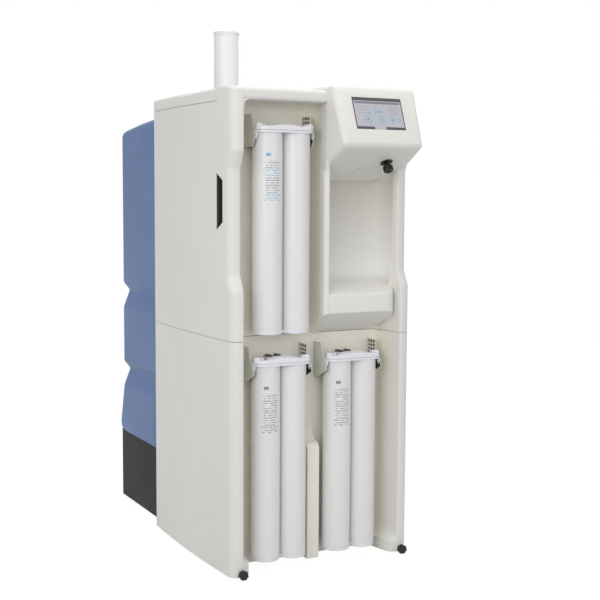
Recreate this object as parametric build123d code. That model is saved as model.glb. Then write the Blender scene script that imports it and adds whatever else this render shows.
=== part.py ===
"""A floor-standing laboratory water purifier.

A white two-storey cabinet holds three twin-tube cartridges in open bays, with a dispensing alcove
under a sloping touch console at its top right. A blue storage tank on a black plinth is docked behind.
Lengths are millimetres. X runs to the right as seen from the front, Z is height above the floor, and a
depth runs back from the cabinet's front plane. The origin lies on the floor under the middle of the whole.
"""
from build123d import *
import math
import os

# Clearances
fit_gap = 0.3
slide_gap = 0.5
running_clearance = 0.05
hole_clearance = 1

# Cartridge tubes, whose length sets the height of both storeys
tube_length = 513
tube_wall = 3
tube_spigot = 12
tube_axis_depth = 56
end_cap_height = 10
end_cap_round = 3
end_cap_web = 26

# Heights, built up from the floor
under_cartridge = 30
head_foot_to_seam = 71
seam_to_cartridge = 10
head_foot_to_top = 111
lower_head_foot = under_cartridge + end_cap_height + tube_length
seam_height = lower_head_foot + head_foot_to_seam
upper_head_foot = seam_height + seam_to_cartridge + end_cap_height + tube_length
cabinet_top = upper_head_foot + head_foot_to_top

# Cabinet
cabinet_width = 540
cabinet_depth = 543
side_bulge = 8
corner_radius = 26
brow_radius = 12
skirt_gap = 8
seam_gap = 1.2
side_wall = 7
skin = 5

# Front columns, the bay walls behind them and the scallop in the upper ones, with its lower and upper slopes
column_width = 34.5
column_solid_depth = 46
column_edge_radius = 6
bay_depth = 104
bay_narrowing = 13.5
bay_cove_radius = 25
scallop_depth = 21
scallop_above_seam = (128, 169)
scallop_below_top = (204, 160)
toe_height = 68
toe_reach = 12
toe_slope = 14

# Header, top cover and rear
header_height = 32
header_depth = 88
top_cover_skirt = 33.5
top_cover_wall = 4
top_cover_round = 8
rear_sheet = 3
louvre_count = 9
louvre_pitch = 16
louvre_width = 240
louvre_rows = (300, 1000)

# Divider between the cartridge bay and the alcove
divider_front_left = -3
divider_front_width = 14
divider_back_left = 17
divider_back_width = 10
divider_radius = 11

# Dispensing alcove
alcove_depth = 95
alcove_skin = 5
ledge_above_seam = 61
ledge_front_height = 50
ledge_rise = 30
ledge_skirt = 10
ledge_corner_radius = 30
alcove_cove_radius = 64
alcove_cove_start = 8

# Console, its side view given as (depth, height above the cabinet's top) points
console_left = 0
console_side_margin = 14
console_draft = 8
console_wall = 4
console_brow = (-18, 10)
console_face_top = (-30, -2)
console_face_bottom = (-81, -134)
console_ceiling_front = (-72, -152)
console_ceiling_back = (95, -238)
console_hood_back = (110, 16)
console_chin_radius = 15
console_brow_radius = 9
console_side_radius = 14
console_back_depth = 99

# Display
display_width = 149.5
display_height = 89
display_offset = -1
display_below_brow = 16.4
display_rim = 3
display_glass_thickness = 2
display_board_thickness = 12
display_flange = (5, 3, 4)

# Outlet under the console, and the blank cover beside it
outlet_from_right = 79
outlet_depth = -12
outlet_flange_radius = 17
outlet_flange_thickness = 2.5
outlet_neck_radius = 6.5
outlet_neck_length = 9
outlet_knob_radius = 13.5
outlet_knob_height = 16
outlet_knob_round = 2
outlet_bore = 3
outlet_pin_radius = 4
outlet_pin_end = 5
blank_from_middle = 6
blank_depth = 38
blank_radius = 20
blank_thickness = 1.2

# Grip cups in the side panels
grip_height = 143
grip_width = 30
grip_below_top = 288
grip_front_depth = 58
grip_recess = 13
grip_chamfer = 20
grip_wall = 2

# Centre rib of the lower bay
rib_width = 36
rib_front_depth = 60
rib_height = 330
rib_crown = 22
rib_sweep_middle = (8.8, 15.4)
rib_sweep_rise = 44

# Brackets: their cheeks are (distance ahead of the bay's back, height above the head's foot) points
lower_cheek = ((0, 47), (42, 47), (49, 23), (62, 9), (75, -23), (31, -45), (0, -48))
upper_cheek = ((0, 47), (44, 47), (64, 4), (66, -17), (54, -37), (0, -38))
bracket_from_middle = 21.7
bracket_corner_gap = 2.7
bracket_wall = 2.5
bracket_back = 3
bracket_back_top = 6
rail_height = 4
rail_reach = 2.6
rail_front_depth = 46
cheek_window = (9, 6.5)
cheek_window_floor = 0.8
cheek_window_pitch = (13, 10.5)
cheek_window_first = (8, 6)
cheek_window_columns = 3
cheek_window_rows = 4

# Cartridges: which side each one hangs on, the foot of its head and its bracket's cheek, then the gaps from
# its bracket to the bay's corner, from its tubes to the cheeks and between its two tubes
upper_gaps = {"corner": 7.7, "cheek": 3.9, "tubes": 1.4}
lower_gaps = {"corner": bracket_corner_gap, "cheek": 6.4, "tubes": 0.4}
cartridges = {
    "upper": {"side": -1, "foot": upper_head_foot, "cheek": upper_cheek, "gaps": upper_gaps},
    "lower_left": {"side": -1, "foot": lower_head_foot, "cheek": lower_cheek, "gaps": lower_gaps},
    "lower_right": {"side": 1, "foot": lower_head_foot, "cheek": lower_cheek, "gaps": lower_gaps},
}
head_plate = 5.5
head_lip = 2
head_corner = 28
head_round = 1.5
port_spacing = 27
port_height = 15
port_radius = 4.5
port_collar_radius = 6.5
port_collar_depth = 80
port_reach = 17
port_block_margin = 1.5
port_block_wall = 4
catch_width = 3
catch_depths = (32, 44)
catch_drop = (9, 17)

# Handle of a cartridge
pivot_depth = 37
pivot_height = 15.5
knuckle_radius = 10
knuckle_length = 19
knuckle_round = 3.5
knuckle_from_cheek = 11.3
lug_radius = 6.5
lug_length = 6
pin_radius = 3
bow_width = 9
bow_middle_height = 24.5
bow_dip_height = 15
bow_dip_from_cheek = 24.8

# Valves behind the ports
valve_length = 34
valve_radius = 13

# Star knobs at the feet of the columns
star_knob_from_side = 27.2
star_knob_height = 18.4
star_knob_radius = 14
star_knob_lobes = 7
star_knob_lobe_radius = 4.2
star_knob_thickness = 14
star_stud_radius = 4
star_stud_length = 34
star_washer_radius = 8.5
star_washer_thickness = 6

# Tray, feet and frame
tray_thickness = 3
tray_lift = 1
tray_front_depth = 118
tray_flange_height = 48
foot_radius = 20
foot_inset = 50
frame_tube = 25
frame_wall = 2
frame_side_gap = 2
frame_front_depth = 125
frame_top_gap = 6
shelf_below_seam = 14
shelf_thickness = 3

# Tank, its waisted side given as (height above its foot, inset) points
tank_inset = 15
tank_gap = 9
tank_depth = 349
tank_corner = 42
tank_wall = 6
tank_foot = 235
tank_levels = ((0, 1), (12, -8), (28, -10), (150, 0), (204, 17), (227, 0), (402, 0), (456, 17), (482, 0))
tank_crown_drop = (44, 58, 84)
tank_neck_length = 128

# Plinth and dock
plinth_inset = 5
plinth_overhang = 10
plinth_foot = 16
plinth_wall = 6
plinth_corner = 8
dock_width = 240
dock_heights = (120, 180)

# Tank fittings
lid_set_back = 80
lid_radius = 76
lid_height = 16
lid_boss_radius = 84
lid_boss_drop = 40
lid_plug_depth = 30
mouth_radius = 64
filter_radius = 38
filter_above_cabinet = 223
filter_lip = 1.6
filter_lip_height = 9
filter_neck_radius = 15
filter_neck_bore = 10
filter_neck_height = 14
filter_socket_spare = 10
filter_tab = (4, 10, 5)
probe_radius = 6
probe_x = 40
probe_above_foot = 63

# Inside pieces
vessel_from_side = (155, 265)
vessel_depth = 300
vessel_radius = 45
vessel_length = 480
vessel_wall = 5
vessel_cap_radius = 52
vessel_cap_height = 24
pump_from_side = 140
pump_depth = 200
pump_radius = 55
pump_length = 170
pump_head_radius = 42
pump_head_length = 60
pump_foot = (90, 20, 30)
control_size = (260, 70, 220)
control_wall = 2
control_back_gap = 40
reactor_radius = 34
reactor_length = 420
reactor_wall = 3
reactor_cap_radius = 40
reactor_cap_height = 20
manifold_width = 260
manifold_depth = 40
manifold_height = 60
hose_radius = 6

# Service fittings on the back of the plinth
service_height = 150
inlet_x = 150
inlet_size = (70, 14, 28)
socket_size = (28, 18)
socket_from_edge = 17
socket_floor = 4
socket_pins = 3
socket_pin_pitch = 8
socket_pin = (2, 4)
rocker_width = 14
rocker_half_height = 8.5
rocker_from_edge = 12
rocker_room = 10
rocker_pivot_depth = 7
rocker_crest = 5
rocker_pin = (1.5, 1.5)
fitting_x = (-80, -125, -170)
fitting_radius = 9
fitting_length = 26
fitting_bore = 6
fitting_collar = (13, 8)

# Worked out from the sizes above
half_width = cabinet_width / 2
column_inner = half_width - column_width
bay_half = column_inner - bay_narrowing
cove_end = bay_half - bay_cove_radius
cove_depth = bay_depth - bay_cove_radius
panel_back = bay_depth + skin
header_bottom = cabinet_top - header_height
lid_seam = cabinet_top - top_cover_skirt
divider_front_right = divider_front_left + divider_front_width
divider_back_right = divider_back_left + divider_back_width
inner_half = half_width - side_wall - fit_gap
tray_foot = skirt_gap + tray_lift
tray_top = tray_foot + tray_thickness
sheet_front = cabinet_depth - top_cover_wall - rear_sheet
shelf_height = seam_height - shelf_below_seam
shelf_top = shelf_height + shelf_thickness
scallop_low = [seam_height + rise for rise in scallop_above_seam]
scallop_high = [cabinet_top - drop for drop in scallop_below_top]
ledge_front_bottom = seam_height + ledge_above_seam
ledge_front_top = ledge_front_bottom + ledge_front_height
ledge_back_top = ledge_front_top + ledge_rise
grip_middle = cabinet_top - grip_below_top
brow = (console_brow[0], cabinet_top + console_brow[1])
face_top = (console_face_top[0], cabinet_top + console_face_top[1])
face_bottom = (console_face_bottom[0], cabinet_top + console_face_bottom[1])
ceiling_front = (console_ceiling_front[0], cabinet_top + console_ceiling_front[1])
ceiling_back = (console_ceiling_back[0], cabinet_top + console_ceiling_back[1])
hood_back = (console_hood_back[0], cabinet_top + console_hood_back[1])
console_width = half_width - console_side_margin - console_left
console_middle = console_left + console_width / 2
outlet_x = console_left + console_width - outlet_from_right
blank_x = console_middle - blank_from_middle
bracket_outer = (cove_end - bracket_from_middle - bracket_corner_gap) / 2
bracket_half_width = bracket_outer - bracket_wall
knuckle_middle = bracket_half_width - knuckle_from_cheek
knuckle_inner = knuckle_middle - knuckle_length / 2
knuckle_outer = knuckle_middle + knuckle_length / 2
vessel_x = [room - half_width for room in vessel_from_side]
pump_x = half_width - pump_from_side
tank_width = cabinet_width - 2 * tank_inset
tank_front_depth = cabinet_depth + tank_gap
tank_back_depth = tank_front_depth + tank_depth
plinth_width = tank_width - 2 * plinth_inset
plinth_back_depth = tank_back_depth + plinth_overhang
tank_crown_front, tank_crown_middle, tank_crown_back = [cabinet_top - drop for drop in tank_crown_drop]
lid_depth = tank_front_depth + lid_set_back
lid_boss_top = cabinet_top - lid_boss_drop
tank_crown_reach = lid_boss_top - tank_neck_length
filter_top = cabinet_top + filter_above_cabinet


def turn(radius):
    """How far the middle of a quarter arc lies from each of the two sides that it joins."""
    return radius * (1 - math.sqrt(0.5))


def height_on(near, far, depth):
    """The height at a depth on the straight line through two (depth, height) points."""
    return near[1] + (far[1] - near[1]) * (depth - near[0]) / (far[0] - near[0])


def centred(middle, length):
    return (middle - length / 2, middle + length / 2)


def block(x_span, depth_span, z_span):
    spans = (x_span, depth_span, z_span)
    sizes = [span[1] - span[0] for span in spans]
    return Pos(*[span[0] for span in spans]) * Box(*sizes, align=(Align.MIN,) * 3)


def face_of(*curves):
    return make_face([edge for curve in curves for edge in curve.edges()])


def raised(face, low, high):
    return extrude(Pos(0, 0, low) * face, amount=high - low, dir=(0, 0, 1))


def upright(points, low, high):
    return raised(make_face(Polyline(*points, close=True)), low, high)


def swept_across(face, left, right):
    """A side view in (depth, height), carried along X."""
    return extrude(Plane.YZ.offset(left) * face, amount=right - left, dir=(1, 0, 0))


def across(points, left, right):
    return swept_across(make_face(Polyline(*points, close=True)), left, right)


def rod(radius, start, end):
    axis = Vector(*end) - Vector(*start)
    return extrude(Plane(origin=start, z_dir=axis) * Circle(radius), amount=axis.length)


def standing_rod(radius, x, depth, low, high):
    return rod(radius, (x, depth, low), (x, depth, high))


def disc(radius, thickness):
    return Cylinder(radius, thickness, align=(Align.CENTER, Align.CENTER, Align.MIN))


def both_sides(shape):
    return shape + mirror(shape, about=Plane.YZ)


def side_plan(setback):
    """The plan of the left side panel, with its column's face behind the front plane by the setback."""
    back = (-half_width, cabinet_depth)
    bulge = (-half_width - side_bulge, (cabinet_depth + corner_radius) / 2)
    corner_start = (-half_width, setback + corner_radius)
    corner_middle = (-half_width + turn(corner_radius), setback + turn(corner_radius))
    corner_end = (-half_width + corner_radius, setback)
    edge_start = (-column_inner - column_edge_radius, setback)
    edge_middle = (-column_inner - turn(column_edge_radius), setback + turn(column_edge_radius))
    edge_end = (-column_inner, setback + column_edge_radius)
    cove_start = (-bay_half, cove_depth)
    cove_middle = (-bay_half + turn(bay_cove_radius), bay_depth - turn(bay_cove_radius))
    cove_finish = (-cove_end, bay_depth)
    inside = [
        cove_finish,
        (-cove_end, panel_back),
        (-bay_half - skin, panel_back),
        (-column_inner - skin, column_solid_depth),
        (-half_width + side_wall, column_solid_depth),
        (-half_width + side_wall, cabinet_depth),
        back,
    ]
    return face_of(
        ThreePointArc(back, bulge, corner_start),
        ThreePointArc(corner_start, corner_middle, corner_end),
        Line(corner_end, edge_start),
        ThreePointArc(edge_start, edge_middle, edge_end),
        Line(edge_end, cove_start),
        ThreePointArc(cove_start, cove_middle, cove_finish),
        Polyline(*inside),
    )


def side_storey(low, high, low_setback=0, high_setback=0):
    if low_setback == high_setback:
        return raised(side_plan(low_setback), low, high)
    ends = [Pos(0, 0, low) * side_plan(low_setback), Pos(0, 0, high) * side_plan(high_setback)]
    return loft(ends, ruled=True)


def brow_cut():
    """What rounds the top front edge of the header and of the two columns."""
    low = cabinet_top - brow_radius
    middle = (turn(brow_radius), cabinet_top - turn(brow_radius))
    end = (brow_radius, cabinet_top)
    outside = [end, (brow_radius, cabinet_top + 1), (-1, cabinet_top + 1), (-1, low), (0, low)]
    face = face_of(ThreePointArc((0, low), middle, end), Polyline(*outside))
    return swept_across(face, -half_width, half_width)


def grip_outline(margin):
    """A grip cup's outline in (depth, height), with its two front corners cut off."""
    front = grip_front_depth - margin
    back = grip_front_depth + grip_width + margin
    low = grip_middle - grip_height / 2 - margin
    high = grip_middle + grip_height / 2 + margin
    return ((back, low), (back, high), (front, high - grip_chamfer), (front, low + grip_chamfer))


def grip_cup():
    outside = -half_width - side_bulge
    floor = -half_width + grip_recess
    shell = across(grip_outline(grip_wall), -half_width - grip_wall / 2, floor + grip_wall)
    return shell - across(grip_outline(0), outside, floor)


def upper_side():
    low = seam_height + seam_gap / 2
    outside = -half_width - side_bulge - 1
    grip_hole = across(grip_outline(grip_wall + fit_gap), outside, -column_inner)
    shape = side_storey(scallop_low[1], scallop_high[0], scallop_depth, scallop_depth) - grip_hole
    shape += side_storey(low, scallop_low[0])
    shape += side_storey(*scallop_low, 0, scallop_depth)
    shape += side_storey(*scallop_high, scallop_depth, 0)
    lid_room = block((outside, 0), (header_depth, cabinet_depth + 1), (lid_seam, cabinet_top + 1))
    return shape + (side_storey(scallop_high[1], cabinet_top) - lid_room - brow_cut())


def toe():
    """The thicker foot of a lower column, with a sloping top."""
    plan = [
        (-column_inner, column_edge_radius),
        (-bay_half + toe_reach, cove_depth),
        (-cove_end + toe_reach / 2, bay_depth),
        (-column_inner - 2, bay_depth),
    ]
    inner = -cove_end + toe_reach
    bevel = ((-column_inner, toe_height), (inner, toe_height), (inner, toe_height - toe_slope))
    above = extrude(Plane.XZ * make_face(Polyline(*bevel, close=True)), amount=-cabinet_depth)
    return upright(plan, skirt_gap, toe_height) - above


def lower_side():
    shape = side_storey(skirt_gap, seam_height - seam_gap / 2) + toe()
    x = -half_width + star_knob_from_side
    radius = star_stud_radius + running_clearance
    return shape - rod(radius, (x, -1, star_knob_height), (x, column_solid_depth + 1, star_knob_height))


def front_header():
    """The band over the cartridge bay, with the bay's ceiling and the front of the top."""
    back = header_depth - seam_gap
    outline = (
        (0, header_bottom),
        (0, cabinet_top),
        (back, cabinet_top),
        (back, cabinet_top - skin),
        (skin, cabinet_top - skin),
        (skin, header_bottom + skin),
        (bay_depth, header_bottom + skin),
        (bay_depth, header_bottom),
    )
    band = across(outline, -column_inner + fit_gap, divider_front_right)
    bay_wall = [
        (-column_inner - 1, 0),
        (-column_inner + fit_gap, 0),
        (-column_inner + fit_gap, column_edge_radius),
        (-bay_half + fit_gap, cove_depth),
        (-cove_end, bay_depth),
        (-column_inner - 1, bay_depth),
    ]
    return band - upright(bay_wall, header_bottom, cabinet_top) - brow_cut()


def middle_x(place):
    """X of a cartridge's middle, which keeps its bracket clear of the bay's rounded corner."""
    return place["side"] * (cove_end - place["gaps"]["corner"] - bracket_outer)


def tube_radius(place):
    return (bracket_half_width - place["gaps"]["cheek"] - place["gaps"]["tubes"] / 2) / 2


def tube_x(place):
    return centred(middle_x(place), 2 * tube_radius(place) + place["gaps"]["tubes"])


def port_x(place):
    return centred(middle_x(place), port_spacing)


def port_rods(radius, front, back):
    """A rod along each port of every cartridge, between two depths."""
    rods = []
    for place in cartridges.values():
        height = place["foot"] + port_height
        rods += [rod(radius, (x, front, height), (x, back, height)) for x in port_x(place)]
    return rods


def port_holes():
    return port_rods(port_radius + hole_clearance, bay_depth - bracket_back - 1, panel_back + 1)


def upper_back_panel():
    span = cove_end - fit_gap
    low = seam_height + seam_gap / 2
    return block((-span, span), (bay_depth, panel_back), (low, header_bottom)) - port_holes()


def rib_side():
    """Side view of the centre rib, whose top sweeps back to the panel behind it."""
    front = rib_front_depth
    crown_start = (front, rib_height - rib_crown)
    crown_middle = (front + turn(rib_crown), rib_height - turn(rib_crown))
    crown_end = (front + rib_crown, rib_height)
    sweep_middle = (bay_depth - rib_sweep_middle[0], rib_height + rib_sweep_middle[1])
    sweep_end = (bay_depth, rib_height + rib_sweep_rise)
    return face_of(
        Line((front, skirt_gap), crown_start),
        ThreePointArc(crown_start, crown_middle, crown_end),
        ThreePointArc(crown_end, sweep_middle, sweep_end),
        Polyline(sweep_end, (bay_depth, skirt_gap), (front, skirt_gap)),
    )


def lower_back_panel():
    span = cove_end - fit_gap
    panel = block((-span, span), (bay_depth, panel_back), (skirt_gap, seam_height - seam_gap / 2))
    return panel + swept_across(rib_side(), *centred(0, rib_width)) - port_holes()


def underside_cut():
    """What cuts the feet of the divider and the ledge back to the seam."""
    end = (bay_depth, seam_height + seam_gap)
    low = seam_height - 1
    points = ((-1, low), (-1, ledge_front_bottom), (0, ledge_front_bottom), end, (bay_depth + 1, end[1]))
    return across((*points, (bay_depth + 1, low)), -half_width, half_width)


def divider_post():
    left = divider_front_left
    middle = (left + turn(divider_radius), turn(divider_radius))
    outline = [
        (left + divider_radius, 0),
        (divider_front_right, 0),
        (divider_back_right, bay_depth),
        (divider_back_left, bay_depth),
        (left, divider_radius),
    ]
    corner = ThreePointArc((left, divider_radius), middle, (left + divider_radius, 0))
    return raised(face_of(corner, Polyline(*outline)), seam_height, header_bottom) - underside_cut()


def divider_right(depth):
    """X of the divider's right face at a depth."""
    return divider_front_right + (divider_back_right - divider_front_right) * depth / bay_depth


def bay_wall_x(depth):
    """X of the right bay wall at a depth ahead of its cove."""
    along = max(0, depth - column_edge_radius) / (cove_depth - column_edge_radius)
    return column_inner - bay_narrowing * along


def alcove_plan(front, back, margin):
    """Plan of what fills the alcove between two depths, clear of both its sides by a margin."""
    left = [(divider_right(back) + margin, back), (divider_right(front) + margin, front)]
    right = [(bay_wall_x(front) - margin, front)]
    if front < column_edge_radius:
        right.append((column_inner - margin, column_edge_radius))
    right.append((bay_half - margin, cove_depth))
    reach = math.sqrt(bay_cove_radius**2 - (min(back, bay_depth) - cove_depth) ** 2)
    return [*left, *right, (cove_end + reach - margin, back)]


def ledge_height(depth):
    return height_on((0, ledge_front_top), (alcove_depth, ledge_back_top), depth)


def alcove_back():
    """The alcove's back panel, which sweeps forward into the bay wall round a large cove."""
    lean = math.atan(bay_narrowing / (cove_depth - column_edge_radius))
    middle_depth = alcove_depth - alcove_cove_radius
    middle = bay_wall_x(middle_depth) - fit_gap - alcove_cove_radius / math.cos(lean)
    front = middle_depth + alcove_cove_radius * math.sin(lean) + alcove_cove_start
    back = alcove_depth + alcove_skin
    low = ledge_back_top - ledge_skirt
    view = (
        (front, ledge_height(front) + fit_gap),
        (alcove_depth, ledge_back_top + fit_gap),
        (alcove_depth, low),
        (back, low),
        (back, ceiling(back) - fit_gap),
        (front, ceiling(front) - fit_gap),
    )
    solid = upright(alcove_plan(front, back, fit_gap), ledge_front_top, cabinet_top)
    solid &= across(view, 0, half_width)
    solid -= block((0, middle), (0, alcove_depth), (ledge_front_top - 1, cabinet_top + 1))
    return solid - standing_rod(alcove_cove_radius, middle, middle_depth, ledge_front_top - 1, cabinet_top + 1)


def ledge_corner():
    """What rounds the ledge's front right corner, from its front face back to the bay wall."""
    radius = ledge_corner_radius
    middle = bay_wall_x(radius) - fit_gap - radius
    heights = (seam_height - 1, ledge_back_top + 1)
    return block((middle, half_width), (-1, radius), heights) - standing_rod(radius, middle, radius, *heights)


def dispense_ledge():
    outline = (
        (0, ledge_front_bottom),
        (0, ledge_front_top),
        (alcove_depth, ledge_back_top),
        (alcove_depth, ledge_back_top - ledge_skirt),
        (bay_depth, ledge_back_top - ledge_skirt),
        (bay_depth, seam_height),
        (0, seam_height),
    )
    solid = across(outline, 0, half_width) - underside_cut() - ledge_corner()
    return solid & upright(alcove_plan(0, bay_depth - fit_gap, fit_gap), seam_height, ledge_back_top)


def hood_height(depth):
    return height_on(brow, hood_back, depth)


def ceiling(depth):
    return height_on(ceiling_front, ceiling_back, depth)


def chin_corner():
    """Where the console's face and underside would meet if the chin weren't rounded."""
    face_run = face_top[0] - face_bottom[0]
    face_rise = face_top[1] - face_bottom[1]
    lean = face_run / face_rise
    fall = (ceiling(ceiling_back[0]) - ceiling(0)) / ceiling_back[0]
    depth = (face_top[0] + lean * (ceiling(0) - face_top[1])) / (1 - lean * fall)
    return (depth, ceiling(depth))


def chin_front():
    """The foremost depth of the rounded chin, and so of the whole console."""
    corner = Vector(*chin_corner())
    up = (Vector(*face_top) - corner).normalized()
    back = (Vector(*ceiling_back) - corner).normalized()
    half_angle = math.radians(up.get_angle(back) / 2)
    centre = corner + (up + back).normalized() * (console_chin_radius / math.sin(half_angle))
    return centre.X - console_chin_radius


def nearest_corner(face, point):
    return face.vertices().sort_by_distance((*point, 0))[0]


def nose_section():
    """Side view of the part of the console ahead of the cabinet, its brow and chin rounded."""
    points = ((0, hood_height(0)), brow, face_top, chin_corner(), (0, ceiling(0)))
    face = make_face(Polyline(*points, close=True))
    face = fillet(nearest_corner(face, chin_corner()), console_chin_radius)
    return fillet(nearest_corner(face, brow), console_brow_radius)


def nose_plan(inset):
    """Plan of the nose, which narrows towards its front."""
    front = chin_corner()[0] - 1
    narrow = console_draft * front / chin_front()
    left = console_left + inset
    right = console_left + console_width - inset
    return ((left, 0), (left + narrow, front), (right - narrow, front), (right, 0))


def nose(inset):
    section = nose_section()
    if inset:
        section = offset(section, amount=-inset, kind=Kind.INTERSECTION)
    body = swept_across(section, console_left, console_left + console_width)
    return body & upright(nose_plan(inset), ceiling_back[1], hood_back[1])


def hood():
    """The part of the console that stands on the cabinet's top."""
    low = cabinet_top + fit_gap
    back = hood_back[0]
    points = ((0, low), (0, hood_height(0)), (back, hood_height(back)), (back, low))
    return across(points, console_left, console_left + console_width)


def between_sides(front, back, margin, above_ceiling, top):
    """What fills the alcove's width from the console's underside, or above it, up to a height by depth."""
    plan = alcove_plan(front, back, margin)
    view = (
        (front, ceiling(front) + above_ceiling),
        (back, ceiling(back) + above_ceiling),
        (back, top(back)),
        (front, top(front)),
    )
    low = ceiling(back) - 1
    return upright(plan, low, hood_back[1]) & across(view, console_left, half_width)


def console_body():
    return between_sides(0, console_back_depth, fit_gap, 0, lambda depth: cabinet_top + fit_gap)


def console_hollow():
    """The room inside the console for its electronics, open at the back below the hood."""
    wall = console_wall
    rear = between_sides(-wall - 1, bay_depth, fit_gap + wall, wall, lambda depth: hood_height(depth) - wall)
    return nose(wall) + rear


def face_plane():
    """The console's tilted face, with its origin under the brow above the display's middle."""
    run = face_top[0] - face_bottom[0]
    rise = face_top[1] - face_bottom[1]
    outward = Vector(1, 0, 0).cross(Vector(0, run, rise).normalized())
    return Plane(origin=(console_middle + display_offset, *face_top), x_dir=(1, 0, 0), z_dir=outward)


def on_face(width, height, outward, inward):
    """A plate centred on the display, from a distance outside the console's face to one inside it."""
    plate = Box(width, height, outward + inward, align=(Align.CENTER, Align.CENTER, Align.MIN))
    return face_plane() * Pos(0, -display_below_brow - display_height / 2, -inward) * plate


def window_size(margin):
    """Width and height of the opening behind the glass, drawn in by a margin."""
    rim = 2 * (display_rim + margin)
    return display_width - rim, display_height - rim


def underside_plane(x, depth):
    """A plane on the console's underside, facing down and forward."""
    run = ceiling_back[0] - ceiling_front[0]
    rise = ceiling_back[1] - ceiling_front[1]
    down = Vector(0, run, rise).normalized().cross(Vector(1, 0, 0))
    return Plane(origin=(x, depth, ceiling(depth)), x_dir=(1, 0, 0), z_dir=down)


def outlet_stem(radius):
    """The nozzle's stem, from its neck up through the console's underside."""
    above = console_wall + outlet_pin_end
    return Pos(0, 0, -above) * disc(radius, above + outlet_flange_thickness + fit_gap)


def runs_down_the_face(edge):
    """True for the long straight edges at either side of the console's face."""
    middle = edge.center()
    at_side = abs(middle.X - console_middle) > console_width / 2 - console_draft
    on_slope = face_bottom[1] < middle.Z < face_top[1]
    return at_side and on_slope and middle.Y < face_top[0] and edge.length > display_height


def console_shell():
    front = nose(0)
    front = fillet([edge for edge in front.edges() if runs_down_the_face(edge)], console_side_radius)
    shell = front + console_body() + hood() - console_hollow()
    pocket = (display_width + fit_gap * 2, display_height + fit_gap * 2)
    shell -= on_face(*pocket, 1, display_glass_thickness)
    shell -= on_face(*window_size(0), 1, console_wall + 1)
    hole = outlet_stem(outlet_pin_radius + running_clearance)
    return shell - underside_plane(outlet_x, outlet_depth) * hole


def display_glass():
    return on_face(display_width, display_height, 0, display_glass_thickness)


def display_board():
    """The screen module in its window, held by a flange behind the console's wall."""
    side, end, thickness = display_flange
    back = console_wall + display_board_thickness
    flange_size = (display_width + side * 2, display_height + end * 2)
    flange = on_face(*flange_size, -console_wall, console_wall + thickness)
    return on_face(*window_size(fit_gap), -display_glass_thickness, back) + flange


def outlet_flange():
    shape = disc(outlet_flange_radius, outlet_flange_thickness)
    shape = chamfer(shape.edges().sort_by(Axis.Z)[-1], outlet_flange_thickness / 2)
    hole = Cylinder(outlet_pin_radius + running_clearance, outlet_flange_thickness * 3)
    return underside_plane(outlet_x, outlet_depth) * (shape - hole)


def outlet_nozzle():
    """The neck and knob below the flange, with the stem above and the water's bore through all three."""
    start = outlet_flange_thickness + fit_gap
    neck = Pos(0, 0, start) * disc(outlet_neck_radius, outlet_neck_length)
    knob = disc(outlet_knob_radius, outlet_knob_height)
    knob = Pos(0, 0, start + outlet_neck_length) * fillet(knob.edges(), outlet_knob_round)
    bore_length = 3 * (outlet_neck_length + outlet_knob_height + console_wall + outlet_pin_end)
    whole = neck + knob + outlet_stem(outlet_pin_radius) - Cylinder(outlet_bore, bore_length)
    return underside_plane(outlet_x, outlet_depth) * whole


def blank_cover():
    shape = disc(blank_radius, blank_thickness)
    shape = chamfer(shape.edges().sort_by(Axis.Z)[-1], blank_thickness / 2)
    return underside_plane(blank_x, blank_depth) * shape


def bulged_plan():
    """The cabinet's plan behind its front corners, with both sides bowed out."""
    bulge = (cabinet_depth + corner_radius) / 2
    wide = half_width + side_bulge
    left_back, left_front = (-half_width, cabinet_depth), (-half_width, corner_radius)
    right_back, right_front = (half_width, cabinet_depth), (half_width, corner_radius)
    return face_of(
        ThreePointArc(left_back, (-wide, bulge), left_front),
        Line(left_front, right_front),
        ThreePointArc(right_front, (wide, bulge), right_back),
        Line(right_back, left_back),
    )


def top_cover():
    """The lift-off lid, with a skirt at its sides and back and a notch for the console's hood."""
    low = lid_seam + seam_gap
    wide = half_width + side_bulge + 1
    solid = raised(bulged_plan(), low, cabinet_top)
    solid -= block((-wide, wide), (0, header_depth), (low - 1, cabinet_top + 1))
    rim = [edge for edge in solid.edges().group_by(Axis.Z)[-1] if edge.center().Y > header_depth + 1]
    solid = fillet(rim, top_cover_round)
    inside = block(
        (-half_width + side_wall, half_width - side_wall),
        (header_depth - 1, cabinet_depth - top_cover_wall),
        (low - 1, cabinet_top - top_cover_wall),
    )
    notch = block(
        (console_left - seam_gap, console_left + console_width + seam_gap),
        (header_depth - 1, hood_back[0] + seam_gap),
        (low - 1, cabinet_top + 1),
    )
    return solid - inside - notch


def rear_panel():
    """The sheet behind the frame, with two rows of louvres."""
    high = cabinet_top - top_cover_wall - fit_gap
    sheet = block((-inner_half, inner_half), (sheet_front, sheet_front + rear_sheet), (tray_top, high))
    slots = []
    for first in louvre_rows:
        for index in range(louvre_count):
            low = first + index * louvre_pitch
            z_span = (low, low + louvre_pitch / 3)
            slots.append(block(centred(0, louvre_width), (sheet_front - 1, cabinet_depth), z_span))
    return sheet - slots


def base_tray():
    front = tray_front_depth
    wide = (-inner_half, inner_half)
    floor = block(wide, (front, cabinet_depth - fit_gap), (tray_foot, tray_top))
    return floor + block(wide, (front, front + tray_thickness), (tray_foot, tray_foot + tray_flange_height))


def rubber_feet():
    feet = []
    for side in (-1, 1):
        x = side * (half_width - foot_inset)
        for depth in (tray_front_depth + foot_inset / 2, cabinet_depth - foot_inset):
            feet.append(standing_rod(foot_radius, x, depth, 0, tray_foot))
        x = side * (plinth_width / 2 - foot_inset)
        for depth in (tank_front_depth + foot_inset, plinth_back_depth - foot_inset):
            feet.append(standing_rod(foot_radius, x, depth, 0, plinth_foot))
    return Compound(children=feet)


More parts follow.
